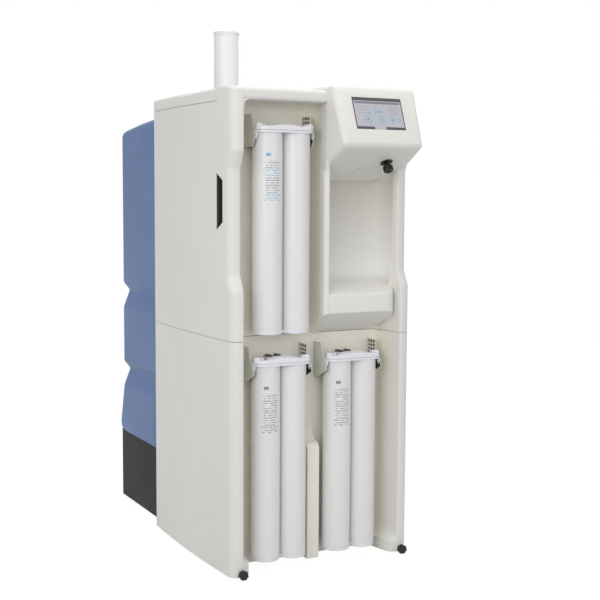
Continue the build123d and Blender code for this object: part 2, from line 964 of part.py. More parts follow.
def frame_bar(x_span, depth_span, z_span):
    """A square tube along its longest side, open at both ends."""
    spans = [x_span, depth_span, z_span]
    longest = max(range(3), key=lambda axis: spans[axis][1] - spans[axis][0])
    bore = [(low + frame_wall, high - frame_wall) for low, high in spans]
    bore[longest] = (spans[longest][0] - 1, spans[longest][1] + 1)
    return block(*spans) - block(*bore)


def frame_spans():
    """Both tubes' spans in X, then both in depth, at the frame's corners."""
    outer = half_width - side_wall - frame_side_gap
    back = sheet_front - frame_side_gap
    x_spans = ((-outer, -outer + frame_tube), (outer - frame_tube, outer))
    depth_spans = ((frame_front_depth, frame_front_depth + frame_tube), (back - frame_tube, back))
    return x_spans, depth_spans


def hose_places():
    """Where the upright hoses pass the shelf: above each vessel and above the pump's head."""
    pump_middle = pump_depth + pump_head_length / 2
    return [(x, vessel_depth) for x in vessel_x] + [(pump_x, pump_middle)]


def chassis_frame():
    """Four posts on the tray with rails round their tops and a shelf at the seam, welded together."""
    x_spans, depth_spans = frame_spans()
    high = cabinet_top - top_cover_wall - frame_top_gap
    rail = (high - frame_tube, high)
    between_x = (x_spans[0][1], x_spans[1][0])
    whole_depth = (depth_spans[0][0], depth_spans[1][1])
    bars = [frame_bar(x, depth, (tray_top, rail[0])) for x in x_spans for depth in depth_spans]
    bars += [frame_bar(x, whole_depth, rail) for x in x_spans]
    bars += [frame_bar(between_x, depth, rail) for depth in depth_spans]
    shelf = block(between_x, whole_depth, (shelf_height, shelf_top))
    for place in hose_places():
        shelf -= standing_rod(hose_radius + hole_clearance, *place, shelf_height - 1, shelf_top + 1)
    return Compound(children=[*bars, shelf])


def capped_tube(x, depth, low, radius, wall, length, cap_radius, cap_height):
    """A closed hollow tube with a thicker solid cap at each end."""
    high = low + length
    shape = standing_rod(radius, x, depth, low, high)
    shape += standing_rod(cap_radius, x, depth, low, low + cap_height)
    shape += standing_rod(cap_radius, x, depth, high - cap_height, high)
    return shape - standing_rod(radius - wall, x, depth, low + cap_height, high - cap_height)


def membrane_vessels():
    """Two upright pressure vessels that stand on the tray."""
    sizes = (vessel_radius, vessel_wall, vessel_length, vessel_cap_radius, vessel_cap_height)
    return Compound(children=[capped_tube(x, vessel_depth, tray_top, *sizes) for x in vessel_x])


def pump_axis_height():
    return tray_top + pump_foot[1] + pump_radius


def booster_pump():
    height = pump_axis_height()
    head_end = pump_depth + pump_head_length
    motor_end = head_end + pump_length
    pump_head = rod(pump_head_radius, (pump_x, pump_depth, height), (pump_x, head_end, height))
    motor = rod(pump_radius, (pump_x, head_end, height), (pump_x, motor_end, height))
    width, rise, set_in = pump_foot
    depth_span = (head_end + set_in, motor_end - set_in)
    foot = block(centred(pump_x, width), depth_span, (tray_top, tray_top + rise + pump_radius / 2))
    return pump_head + motor + foot


def control_box():
    """The closed sheet box of the power supply and electronics."""
    width, depth, height = control_size
    middle = sheet_front - control_back_gap - depth / 2
    wall = 2 * control_wall
    outer = block(centred(0, width), centred(middle, depth), (shelf_top, shelf_top + height))
    inner_height = (shelf_top + control_wall, shelf_top + height - control_wall)
    return outer - block(centred(0, width - wall), centred(middle, depth - wall), inner_height)


def uv_reactor():
    """A capped stainless tube on the shelf, above the pump's head."""
    sizes = (reactor_radius, reactor_wall, reactor_length, reactor_cap_radius, reactor_cap_height)
    return capped_tube(*hose_places()[-1], shelf_top, *sizes)


def feed_manifold():
    """The water block on the shelf, above the vessels."""
    x_span = centred(sum(vessel_x) / len(vessel_x), manifold_width)
    return block(x_span, centred(vessel_depth, manifold_depth), (shelf_top, shelf_top + manifold_height))


def supply_hoses():
    """Upright hoses from the vessels' and the pump's heads through the shelf to what stands on it."""
    feet = [tray_top + vessel_length] * len(vessel_x)
    feet.append(pump_axis_height())
    hoses = [standing_rod(hose_radius, *place, low, shelf_top) for place, low in zip(hose_places(), feet)]
    pump = booster_pump()
    return Compound(children=[*hoses[:-1], hoses[-1] - pump])


def port_valves():
    """A valve body behind the bay's back panel for each cartridge port."""
    bodies = port_rods(valve_radius, panel_back, panel_back + valve_length)
    bore_end = bay_depth + port_reach + 2
    bores = port_rods(port_radius + running_clearance, panel_back - 1, bore_end)
    return Compound(children=[body - bore for body, bore in zip(bodies, bores)])


def cheek_windows(place, side):
    """A grid of small blind windows in the inner face of a bracket's cheek, above the cartridge's head."""
    width, height = cheek_window
    inner = middle_x(place) + side * (bracket_half_width - 1)
    x_span = sorted((inner, middle_x(place) + side * (bracket_outer - cheek_window_floor)))
    first_depth, first_height = cheek_window_first
    windows = []
    for column in range(cheek_window_columns):
        back = bay_depth - first_depth - column * cheek_window_pitch[0]
        for row in range(cheek_window_rows):
            low = place["foot"] + first_height + row * cheek_window_pitch[1]
            windows.append(block(x_span, (back - width, back), (low, low + height)))
    return windows


def bracket(place):
    """Two cheeks round a cartridge's head with a back plate below it and a rail under each of its ends."""
    x = middle_x(place)
    foot = place["foot"]
    points = [(bay_depth - ahead, foot + up) for ahead, up in place["cheek"]]
    heights = (foot + place["cheek"][-1][1], foot + bracket_back_top)
    shape = block(centred(x, 2 * bracket_outer), (bay_depth - bracket_back, bay_depth), heights)
    rail_top = foot - fit_gap
    for side in (-1, 1):
        left, right = sorted((x + side * bracket_half_width, x + side * bracket_outer))
        shape += across(points, left, right) - cheek_windows(place, side)
        rail_x = sorted((x + side * bracket_half_width, x + side * (bracket_half_width - rail_reach)))
        shape += block(rail_x, (rail_front_depth, bay_depth), (rail_top - rail_height, rail_top))
    return shape - port_holes()


def tubes(place):
    outer = tube_radius(place)
    inner = outer - tube_wall
    at = (tube_axis_depth, place["foot"] - tube_length, place["foot"])
    walls = [standing_rod(outer, x, *at) - standing_rod(inner, x, *at) for x in tube_x(place)]
    return Compound(children=walls)


def spigots(place, low, high):
    radius = tube_radius(place) - tube_wall - fit_gap
    return [standing_rod(radius, x, tube_axis_depth, low, high) for x in tube_x(place)]


def end_caps(place):
    """The closed feet of a cartridge's two tubes, joined by a web."""
    high = place["foot"] - tube_length
    low = high - end_cap_height
    shape = block(tube_x(place), centred(tube_axis_depth, end_cap_web), (low + end_cap_round, high))
    for x in tube_x(place):
        cap = standing_rod(tube_radius(place), x, tube_axis_depth, low, high)
        shape += fillet(cap.edges().sort_by(Axis.Z)[0], end_cap_round)
    return shape + spigots(place, high, high + tube_spigot)


def head_plan(place, inset):
    """A rounded rectangle that reaches from cheek to cheek, drawn in by an inset."""
    width = 2 * (bracket_half_width - slide_gap - inset)
    depth = 2 * (tube_radius(place) + head_lip - inset)
    return Pos(middle_x(place), tube_axis_depth) * RectangleRounded(width, depth, head_corner - inset)


def bow_plan(place):
    """The front rim of the head, which the handle's bow lies on."""
    ahead = Pos(middle_x(place), pivot_depth - cabinet_width / 2) * Rectangle(cabinet_width, cabinet_width)
    return (head_plan(place, 0) - head_plan(place, bow_width)) & ahead


def on_pivot(place, radius, start, end):
    """A rod along the handle's pivot axis, between two distances from the cartridge's middle."""
    height = place["foot"] + pivot_height
    return rod(radius, *[(middle_x(place) + along, pivot_depth, height) for along in (start, end)])


def lug(place, side):
    """What carries the handle's pin at one side: a round boss on a short upright."""
    ends = sorted(side * (knuckle_inner - slide_gap - length) for length in (0, lug_length))
    boss = on_pivot(place, lug_radius, *ends)
    x_span = [middle_x(place) + end for end in ends]
    foot = place["foot"]
    return boss + block(x_span, centred(pivot_depth, 2 * lug_radius), (foot, foot + pivot_height))


def catch(place, side):
    """A tongue that hangs from one end of the head, ahead of the bracket's rail."""
    front, back = catch_depths
    foot = place["foot"]
    short, long = catch_drop
    tip = (front + back) / 2
    points = ((front, foot), (back, foot), (back, foot - short), (tip, foot - long), (front, foot - short))
    outer = bracket_half_width - slide_gap
    x_span = sorted(middle_x(place) + side * reach for reach in (outer - catch_width, outer))
    return across(points, *x_span)


def port_block(place):
    """The low block that the ports stand in, at the back of the head."""
    foot = place["foot"]
    width = port_spacing + 2 * (port_collar_radius + port_block_margin)
    back = tube_axis_depth + tube_radius(place) + head_lip
    front = port_collar_depth - port_block_wall
    return block(centred(middle_x(place), width), (front, back), (foot, foot + port_height))


def head(place):
    """The moulded head: a plate on both tubes, with spigots into them, a port block, catches and pins."""
    foot = place["foot"]
    shape = extrude(Pos(0, 0, foot) * head_plan(place, 0), amount=head_plate)
    shape = fillet(shape.edges().group_by(Axis.Z)[-1], head_round)
    shape += spigots(place, foot - tube_spigot, foot)
    shape += port_block(place)
    for side in (-1, 1):
        room = (side * (knuckle_inner - slide_gap), side * (bracket_half_width + 1))
        shape -= on_pivot(place, knuckle_radius + slide_gap, *room)
        shape += lug(place, side) + catch(place, side)
        pin = (side * (knuckle_inner - lug_length), side * (knuckle_outer - 1))
        shape += on_pivot(place, pin_radius, *pin)
    return shape - ports(place)


def ports(place):
    """The two black connectors at the back of the head, each a collar with a stub behind it."""
    height = place["foot"] + port_height
    back = tube_axis_depth + tube_radius(place) + head_lip
    bodies = []
    for x in port_x(place):
        collar = rod(port_collar_radius, (x, port_collar_depth, height), (x, back, height))
        bodies.append(collar + rod(port_radius, (x, back, height), (x, bay_depth + port_reach, height)))
    return Compound(children=bodies)


def bow_arch(place):
    """All that lies under the handle's top as seen from the front: an arch with a dip at each end."""
    low = place["foot"] + head_plate + slide_gap
    dip = place["foot"] + bow_dip_height
    crest = (middle_x(place), place["foot"] + bow_middle_height)
    left, right = centred(middle_x(place), 2 * bracket_half_width)
    left_dip = (left + bow_dip_from_cheek, dip)
    right_dip = (right - bow_dip_from_cheek, dip)
    face = face_of(
        Spline(left_dip, crest, right_dip, tangents=((1, 0), (1, 0))),
        Polyline(right_dip, (right, dip), (right, low), (left, low), (left, dip), left_dip),
    )
    return extrude(Plane.XZ * face, amount=-cabinet_depth)


def handle(place):
    """A bow along the head's front rim, arched in the middle, with a round ear at each end."""
    foot = place["foot"]
    shape = raised(bow_plan(place), foot, foot + 2 * bow_middle_height) & bow_arch(place)
    for side in (-1, 1):
        ear = on_pivot(place, knuckle_radius, side * knuckle_inner, side * knuckle_outer)
        shape += fillet(ear.edges().filter_by(GeomType.CIRCLE), knuckle_round)
    return shape - on_pivot(place, pin_radius + running_clearance, -bracket_half_width, bracket_half_width)


def star_knob(side):
    """A lobed knob moulded on its threaded stud."""
    ring_radius = star_knob_radius - star_knob_lobe_radius
    shape = disc(ring_radius, star_knob_thickness)
    for index in range(star_knob_lobes):
        angle = 2 * math.pi * index / star_knob_lobes + math.pi / 2
        centre = Pos(ring_radius * math.cos(angle), ring_radius * math.sin(angle))
        shape += centre * disc(star_knob_lobe_radius, star_knob_thickness)
    shape += Pos(0, 0, -star_stud_length) * disc(star_stud_radius, star_stud_length)
    x = side * (half_width - star_knob_from_side)
    origin = (x, -star_washer_thickness, star_knob_height)
    return Plane(origin=origin, x_dir=(1, 0, 0), z_dir=(0, -1, 0)) * shape


def star_washer(side):
    x = side * (half_width - star_knob_from_side)
    ends = [(x, depth, star_knob_height) for depth in (-star_washer_thickness, 0)]
    return rod(star_washer_radius, *ends) - rod(star_stud_radius + running_clearance, *ends)


def tank_plan(inset):
    width = tank_width - 2 * inset
    depth = tank_back_depth - tank_front_depth - 2 * inset
    middle = (tank_front_depth + tank_back_depth) / 2
    return Pos(0, middle) * RectangleRounded(width, depth, tank_corner - inset / 2)


def tank_stack(shrink, top):
    """The waisted tank up to a height, drawn in all round."""
    levels = [(tank_foot + height, inset + shrink) for height, inset in tank_levels]
    levels[0] = (levels[0][0] + shrink, levels[0][1])
    levels.append((top, shrink))
    return loft([Pos(0, 0, height) * tank_plan(inset) for height, inset in levels], ruled=True)


def under_crown(drop):
    """All that lies under the tank's crowned top, as seen from the side."""
    front = (tank_front_depth - tank_corner, tank_crown_front - drop)
    middle = ((tank_front_depth + tank_back_depth) / 2, tank_crown_middle - drop)
    back = (tank_back_depth + tank_corner, tank_crown_back - drop)
    low = tank_foot - 1
    edges = Polyline(back, (back[0], low), (front[0], low), front)
    return swept_across(face_of(ThreePointArc(front, middle, back), edges), -tank_width, tank_width)


def tank_body():
    top = tank_crown_front + 10
    outside = tank_stack(0, top) & under_crown(0)
    inside = tank_stack(tank_wall, top) & under_crown(tank_wall)
    boss = standing_rod(lid_boss_radius, 0, lid_depth, tank_crown_reach, lid_boss_top)
    mouth = standing_rod(mouth_radius, 0, lid_depth, tank_crown_reach, lid_boss_top + 1)
    return outside + (boss - under_crown(tank_wall)) - inside - mouth


def tank_lid():
    """A round lid on the tank's boss, with the neck that the vent filter is pushed over."""
    high = lid_boss_top + lid_height
    plug_foot = lid_boss_top - lid_plug_depth
    lid = standing_rod(lid_radius, 0, lid_depth, lid_boss_top, high)
    lid += standing_rod(mouth_radius - fit_gap, 0, lid_depth, plug_foot, lid_boss_top)
    lid += standing_rod(filter_neck_radius, 0, lid_depth, high, high + filter_neck_height)
    return lid - standing_rod(filter_neck_bore, 0, lid_depth, plug_foot - 1, high + filter_neck_height + 1)


def level_probe():
    high = lid_boss_top - lid_plug_depth
    return standing_rod(probe_radius, probe_x, lid_depth, tank_foot + probe_above_foot, high)


def vent_filter():
    """A tall white cylinder over the lid's neck, with a slightly wider rim and a tab at its top."""
    low = lid_boss_top + lid_height + fit_gap
    rim = filter_radius + filter_lip
    body = standing_rod(filter_radius, 0, lid_depth, low, filter_top)
    body += standing_rod(rim, 0, lid_depth, filter_top - filter_lip_height, filter_top)
    socket_top = low + filter_neck_height + filter_socket_spare
    body -= standing_rod(filter_neck_radius + running_clearance, 0, lid_depth, low - 1, socket_top)
    reach, width, height = filter_tab
    tab_height = (filter_top - height, filter_top)
    return body + block((filter_radius, rim + reach), centred(lid_depth, width), tab_height)


def tank_base():
    """The black plinth, a closed hollow box."""
    middle = (tank_front_depth + plinth_back_depth) / 2
    depth = plinth_back_depth - tank_front_depth
    outer = Pos(0, middle) * RectangleRounded(plinth_width, depth, plinth_corner)
    inner = Pos(0, middle) * Rectangle(plinth_width - 2 * plinth_wall, depth - 2 * plinth_wall)
    shell = raised(outer, plinth_foot, tank_foot)
    return shell - raised(inner, plinth_foot + plinth_wall, tank_foot - plinth_wall)


def tank_dock():
    """The steel plate between the cabinet's back and the plinth."""
    return block(centred(0, dock_width), (sheet_front + rear_sheet, tank_front_depth), dock_heights)


def power_inlet():
    """A mains inlet with its three pins, and a recess beside them for the rocker switch."""
    width, depth, height = inlet_size
    face = plinth_back_depth + depth
    left, right = centred(inlet_x, width)
    shape = block((left, right), (plinth_back_depth, face), centred(service_height, height))
    socket_x = right - socket_from_edge
    floor = plinth_back_depth + socket_floor
    socket_z = centred(service_height, socket_size[1])
    shape -= block(centred(socket_x, socket_size[0]), (floor, face + 1), socket_z)
    for index in range(socket_pins):
        x = socket_x + (index - (socket_pins - 1) / 2) * socket_pin_pitch
        shape += block(centred(x, socket_pin[0]), (floor, face - 2), centred(service_height, socket_pin[1]))
    room_x = centred(left + rocker_from_edge, rocker_width + 2 * fit_gap)
    room_z = centred(service_height, 2 * rocker_room)
    shape -= rocker_pins(rocker_pin[0] + running_clearance, rocker_pin[1] + fit_gap)
    return shape - block(room_x, (plinth_back_depth + 1, face + 1), room_z)


def rocker_pins(radius, reach):
    """A rod along the rocker's pivot line, which reaches past both its ends."""
    depth = plinth_back_depth + rocker_pivot_depth
    ends = centred(inlet_x - inlet_size[0] / 2 + rocker_from_edge, rocker_width + 2 * reach)
    return rod(radius, *[(x, depth, service_height) for x in ends])


def rocker_switch():
    """A rocker with a shallow valley across its face, which tilts about a line along X."""
    pivot = plinth_back_depth + rocker_pivot_depth
    tall = rocker_half_height
    points = (
        (pivot - rocker_crest, service_height),
        (pivot, service_height - tall),
        (pivot + rocker_crest, service_height - tall),
        (pivot + rocker_crest / 2, service_height),
        (pivot + rocker_crest, service_height + tall),
        (pivot, service_height + tall),
    )
    left = inlet_x - inlet_size[0] / 2
    return across(points, *centred(left + rocker_from_edge, rocker_width)) + rocker_pins(*rocker_pin)


def water_fittings():
    """Feed, drain and overflow stubs in a row."""
    collar_radius, collar_length = fitting_collar
    stubs = []
    for x in fitting_x:
        start = (x, plinth_back_depth, service_height)
        collar_end = (x, plinth_back_depth + collar_length, service_height)
        end = (x, plinth_back_depth + fitting_length, service_height)
        stub = rod(fitting_radius, start, end) + rod(collar_radius, start, collar_end)
        stubs.append(stub - rod(fitting_bore, collar_end, (x, end[1] + 1, service_height)))
    return Compound(children=stubs)


def whole_machine():
    pieces = {
        "upper_left_side": upper_side(),
        "upper_right_side": mirror(upper_side(), about=Plane.YZ),
        "lower_left_side": lower_side(),
        "lower_right_side": mirror(lower_side(), about=Plane.YZ),
        "grip_cups": both_sides(grip_cup()),
        "front_header": front_header(),
        "upper_back_panel": upper_back_panel(),
        "lower_back_panel": lower_back_panel(),
        "divider_post": divider_post(),
        "alcove_back": alcove_back(),
        "dispense_ledge": dispense_ledge(),
        "console_shell": console_shell(),
        "display_glass": display_glass(),
        "display_board": display_board(),
        "outlet_flange": outlet_flange(),
        "outlet_nozzle": outlet_nozzle(),
        "blank_cover": blank_cover(),
        "top_cover": top_cover(),
        "rear_panel": rear_panel(),
        "base_tray": base_tray(),
        "rubber_feet": rubber_feet(),
        "chassis_frame": chassis_frame(),
        "membrane_vessels": membrane_vessels(),
        "booster_pump": booster_pump(),
        "control_box": control_box(),
        "uv_reactor": uv_reactor(),
        "feed_manifold": feed_manifold(),
        "supply_hoses": supply_hoses(),
        "port_valves": port_valves(),
        "tank_body": tank_body(),
        "tank_lid": tank_lid(),
        "level_probe": level_probe(),
        "vent_filter": vent_filter(),
        "tank_base": tank_base(),
        "tank_dock": tank_dock(),
        "power_inlet": power_inlet(),
        "rocker_switch": rocker_switch(),
        "water_fittings": water_fittings(),
    }
    for name, place in cartridges.items():
        for make in (bracket, tubes, end_caps, head, ports, handle):
            pieces[f"{name}_{make.__name__}"] = make(place)
    for name, side in (("left", -1), ("right", 1)):
        pieces[f"{name}_star_knob"] = star_knob(side)
        pieces[f"{name}_star_washer"] = star_washer(side)
    return pieces


def save(pieces):
    """Writes each piece, moved so that the middle of the whole machine's depth lies over the origin."""
    shift = -(chin_front() + plinth_back_depth + fitting_length) / 2
    print("depth 0 lies at y =", round(shift, 3))
    os.makedirs("parts", exist_ok=True)
    for name, shape in pieces.items():
        placed = Pos(0, shift, 0) * shape
        placed.label = name
        export_step(placed, f"parts/{name}.step")


save(whole_machine())
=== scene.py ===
import math
from functools import reduce

import bmesh
import bpy
import numpy as np
from mathutils import Matrix, Vector


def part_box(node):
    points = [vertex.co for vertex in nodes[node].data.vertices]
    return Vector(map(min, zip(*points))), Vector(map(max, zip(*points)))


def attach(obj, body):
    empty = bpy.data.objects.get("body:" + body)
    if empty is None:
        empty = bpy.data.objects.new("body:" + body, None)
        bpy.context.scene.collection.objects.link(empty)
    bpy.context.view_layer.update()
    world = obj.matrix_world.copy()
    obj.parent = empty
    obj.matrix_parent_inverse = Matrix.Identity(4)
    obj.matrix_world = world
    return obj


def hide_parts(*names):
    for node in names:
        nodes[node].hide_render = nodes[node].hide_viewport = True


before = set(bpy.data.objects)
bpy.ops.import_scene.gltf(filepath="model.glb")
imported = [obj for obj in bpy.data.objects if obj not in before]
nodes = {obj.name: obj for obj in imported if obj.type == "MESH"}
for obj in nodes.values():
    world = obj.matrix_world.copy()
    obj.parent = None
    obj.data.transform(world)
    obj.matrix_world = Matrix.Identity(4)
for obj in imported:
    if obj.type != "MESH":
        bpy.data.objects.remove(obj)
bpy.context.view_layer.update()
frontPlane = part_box("upper_left_side")[0].y * 1000  # where depth 0, the cabinet's front plane, lies in the frame
print("frame:", len(nodes), "nodes")

# metres within which points become one, in a new piece and in a CAD node, and degrees within which a face is flat
joining = {"new": 2e-6, "cad": 5e-6, "flat": 1}


def place(x, depth, z):  # x, depth behind the front plane and height become metres in the frame
    return np.stack(np.broadcast_arrays(x, np.add(depth, frontPlane), z), axis=-1) / 1000


def paired(first, second):  # two coordinates, numbers or arrays, side by side
    return np.stack(np.broadcast_arrays(first, second), axis=-1)


def standing(values):  # a row of levels as a column, to go with a ring of points
    return np.array(values, float)[:, None]


def quarterTurn(steps):
    return np.linspace(0, math.pi / 2, steps)


def unit(vectors):
    return vectors / np.linalg.norm(vectors, axis=-1, keepdims=True)


def smoothStep(low, high, value):  # 0 below low, 1 above high, and an S between them
    t = np.clip((np.asarray(value, float) - low) / (high - low), 0, 1)
    return t * t * t * (t * (6 * t - 15) + 10)


def gridFaces(rows, cols, closed):  # four-sided faces; in a closed grid the last column meets the first
    r, c = np.meshgrid(np.arange(rows - 1), np.arange(cols if closed else cols - 1), indexing="ij")
    a, b = r * cols + c, r * cols + (c + 1) % cols
    return np.stack([a, b, b + cols, a + cols], axis=-1).reshape(-1, 4).tolist()


def joined(*forms):  # several (points, faces) pairs as one
    points, faces, start = [], [], 0
    for formPoints, formFaces in forms:
        points.append(formPoints)
        faces += [[i + start for i in face] for face in formFaces]
        start += len(formPoints)
    return np.concatenate(points), faces


def solidFrom(grids, capped=True):  # each grid is (rows, columns, 3): closed rings, the first and last one capped
    forms = []
    for grid in grids:
        rows, cols = grid.shape[:2]
        faces = gridFaces(rows, cols, True)
        if capped:
            faces += [list(range(start, start + cols)) for start in (0, (rows - 1) * cols)]
        forms.append((grid.reshape(-1, 3), faces))
    return joined(*forms)


def meshOf(name, form):
    mesh = bpy.data.meshes.new(name)
    mesh.from_pydata(form[0].tolist(), [], form[1])
    return mesh


def addObject(name, data):
    thing = bpy.data.objects.new(name, data)
    bpy.context.scene.collection.objects.link(thing)
    return thing


def cleaned(mesh, slivers=True):  # equal points made one, slivers taken out and faces turned outwards
    work = bmesh.new()
    work.from_mesh(mesh)
    bmesh.ops.remove_doubles(work, verts=work.verts, dist=joining["new"])
    if slivers:
        bmesh.ops.dissolve_degenerate(work, edges=work.edges, dist=joining["new"])
    bmesh.ops.recalc_face_normals(work, faces=work.faces)
    work.to_mesh(mesh)
    work.free()


def flatCopy(node):  # a copy of a CAD node's mesh, its loose triangles joined into flat faces
    mesh, work = nodes[node].data.copy(), bmesh.new()
    work.from_mesh(mesh)
    bmesh.ops.remove_doubles(work, verts=work.verts, dist=joining["cad"])
    bmesh.ops.dissolve_limit(work, angle_limit=math.radians(joining["flat"]), verts=work.verts, edges=work.edges)
    work.to_mesh(mesh)
    work.free()
    return mesh


def formOf(mesh):  # a mesh as points and faces
    points = np.empty(len(mesh.vertices) * 3)
    mesh.vertices.foreach_get("co", points)
    return points.reshape(-1, 3), [list(face.vertices) for face in mesh.polygons]


def finishPiece(piece, node, finish, body, bevel, sharp):  # finish is a material's name
    mesh = piece.data
    cleaned(mesh)
    mesh.polygons.foreach_set("use_smooth", [True] * len(mesh.polygons))
    mesh.set_sharp_from_angle(angle=math.radians(sharp))
    mesh.materials.clear()
    mesh.materials.append(bpy.data.materials[finish])
    if bevel:
        edge = piece.modifiers.new("softEdges", "BEVEL")
        edge.width, edge.segments, edge.limit_method = bevel / 1000, 2, "ANGLE"
        edge.angle_limit = math.radians(sharp)
    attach(piece, body)
    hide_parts(node)
    return piece


def makePiece(name, form, node, finish, body="cabinet", bevel=0.0, sharp=35):
    return finishPiece(addObject(name, meshOf(name, form)), node, finish, body, bevel, sharp)


def softened(node, finish, body="cabinet", bevel=0.8):  # a merged copy of a CAD node, its edges broken
    finishPiece(addObject(node + "_soft", flatCopy(node)), node, finish, body, bevel, 30)


def cutAway(form, cutter):  # what is left of a closed form once another one is taken away
    whole, knife = (addObject(name, meshOf(name, part)) for name, part in (("whole", form), ("knife", cutter)))
    for part in (whole, knife):
        cleaned(part.data, slivers=False)
    cut = whole.modifiers.new("cut", "BOOLEAN")
    cut.operation, cut.solver, cut.object = "DIFFERENCE", "EXACT", knife
    left = bpy.data.meshes.new_from_object(whole.evaluated_get(bpy.context.evaluated_depsgraph_get()))
    for part in (whole, knife):
        bpy.data.meshes.remove(part.data)
    return formOf(left)


def arcCorner(before, corner, after, radius, steps=7):
    # the arc that touches both sides of a corner: its centre lies on the bisector, at radius / sin(half the angle)
    before, corner, after = np.broadcast_arrays(*np.atleast_2d(before, corner, after))
    radius = np.maximum(np.broadcast_to(radius, len(corner)), 1e-3)[:, None]
    u, v = unit(before - corner), unit(after - corner)
    half = np.arccos(np.clip((u * v).sum(1, keepdims=True), -1, 1)) / 2
    centre = corner + unit(u + v) * radius / np.sin(half)
    start, end = (corner + side * radius / np.tan(half) - centre for side in (u, v))
    sweep = (math.pi - 2 * half)[:, None]
    k = np.linspace(0, 1, steps)[:, None]
    arc = (np.sin((1 - k) * sweep) * start[:, None] + np.sin(k * sweep) * end[:, None]) / np.sin(sweep)
    return centre[:, None] + arc


def softPath(corners, radius):  # an open line through corners, with an arc at each inner one
    corners = np.asarray(corners, float)
    arcs = [arcCorner(*corners[i - 1 : i + 2], radius, 6)[0] for i in range(1, len(corners) - 1)]
    return np.concatenate([corners[:1], *arcs, corners[-1:]])


def roundedLoop(corners, radii, steps=6):  # corners: (n, 2) or (levels, n, 2), each one swapped for its arc
    corners = np.asarray(corners, float)
    corners = corners[None] if corners.ndim == 2 else corners
    count = corners.shape[1]
    radii = np.broadcast_to(np.asarray(radii, float), (len(corners), count))
    arcs = [
        arcCorner(corners[:, i - 1], corners[:, i], corners[:, (i + 1) % count], radii[:, i], steps)
        for i in range(count)
    ]
    return np.concatenate(arcs, axis=1)


def hollowCorner(corner, first, second, radius, behind=1.2):
    # a ring that fills the corner between two walls: a hollow arc, and a point a little behind the corner
    inward = unit(np.subtract(first, corner)) + unit(np.subtract(second, corner))
    return np.concatenate([[corner - inward * behind], arcCorner(first, corner, second, radius, 9)[0]])


def turned(profile, x, depth, steps=72):  # (radius, height) points carried round a standing axis
    angle = np.linspace(0, 2 * math.pi, steps, endpoint=False)
    radius, height = np.transpose(profile)[..., None]
    return place(x + radius * np.cos(angle), depth + radius * np.sin(angle), height + 0 * angle)


def turnedAbout(profile, origin, axis, steps=48):  # (radius, distance along the axis) points, round any axis
    axes = np.array(Vector(axis).to_track_quat("Z", "Y").to_matrix())
    angle = np.linspace(0, 2 * math.pi, steps, endpoint=False)
    radius, along = np.transpose(profile)[..., None] / 1000
    local = np.stack(np.broadcast_arrays(radius * np.cos(angle), radius * np.sin(angle), along), axis=-1)
    return local @ axes.T + np.array(origin)


def mathNode(operation, swapped=False):  # a method of Value that adds one Math node
    def method(self, *others):
        values = [*others, self] if swapped else [self, *others]
        return self.tree.add("ShaderNodeMath", {"operation": operation}, values)
    return method


class Value:  # a shader socket that takes part in Python's sums
    def __init__(self, tree, socket):
        self.tree, self.socket = tree, socket

    __add__ = __radd__ = mathNode("ADD")
    __sub__, __rsub__ = mathNode("SUBTRACT"), mathNode("SUBTRACT", swapped=True)
    __mul__ = __rmul__ = mathNode("MULTIPLY")
    __truediv__, __mod__, __abs__ = mathNode("DIVIDE"), mathNode("FLOORED_MODULO"), mathNode("ABSOLUTE")
    __gt__, __lt__ = mathNode("GREATER_THAN"), mathNode("LESS_THAN")
    least, most = mathNode("MINIMUM"), mathNode("MAXIMUM")
    root, floor, sine = mathNode("SQRT"), mathNode("FLOOR"), mathNode("SINE")

    def between(self, low, high):
        return (self > low) * (self < high)

    def near(self, middle, half):
        return abs(self - middle) < half


def anyOf(*masks):
    return reduce(Value.most, masks)


class Tree:  # the nodes of a material or of the world
    def __init__(self, owner):
        self.owner = owner
        owner.use_nodes = True
        owner.node_tree.nodes.clear()

    def add(self, kind, settings=None, values=None, output=0):
        # a node with its settings made first, then its inputs given by order or by name
        node = self.owner.node_tree.nodes.new(kind)
        for key, setting in (settings or {}).items():
            setattr(node, key, setting)
        for key, value in values.items() if isinstance(values, dict) else enumerate(values or []):
            if isinstance(value, Value):
                self.owner.node_tree.links.new(value.socket, node.inputs[key])
            else:
                node.inputs[key].default_value = value
        return Value(self, node.outputs[output]) if node.outputs else None

    def rays(self, *names):  # 1 where the light path is one of these rays
        return anyOf(*[self.add("ShaderNodeLightPath", output=f"Is {name} Ray") for name in names])


class Surface(Tree):  # a material on the object's own point, which ends in one Principled shader
    def __init__(self, name):
        super().__init__(bpy.data.materials.new(name))
        self.point = self.add("ShaderNodeTexCoord", output="Object")

    def axes(self):  # x, y and z of the point, in metres
        split = self.add("ShaderNodeSeparateXYZ", None, [self.point]).socket.node
        return [Value(self, socket) for socket in split.outputs]

    def noise(self, scale, detail=2, roughness=0.5):
        inputs = {"Vector": self.point, "Scale": scale, "Detail": detail, "Roughness": roughness}
        return self.add("ShaderNodeTexNoise", None, inputs)

    def mix(self, factor, first, second):
        return self.add("ShaderNodeMix", {"data_type": "RGBA"}, {0: factor, 6: first, 7: second}, output=2)

    def bump(self, height, strength, distance):
        return self.add("ShaderNodeBump", None, {"Strength": strength, "Distance": distance, "Height": height})

    def set(self, **sockets):
        inputs = {name.replace("_", " "): value for name, value in sockets.items()}
        self.add("ShaderNodeOutputMaterial", None, [self.add("ShaderNodeBsdfPrincipled", None, inputs)])
        return self.owner.name


def linear(red, green, blue):  # a colour as the eye sees it, 0 to 255
    channels = [((c / 255 + 0.055) / 1.055) ** 2.4 if c > 10 else c / 255 / 12.92 for c in (red, green, blue)]
    return (*channels, 1.0)


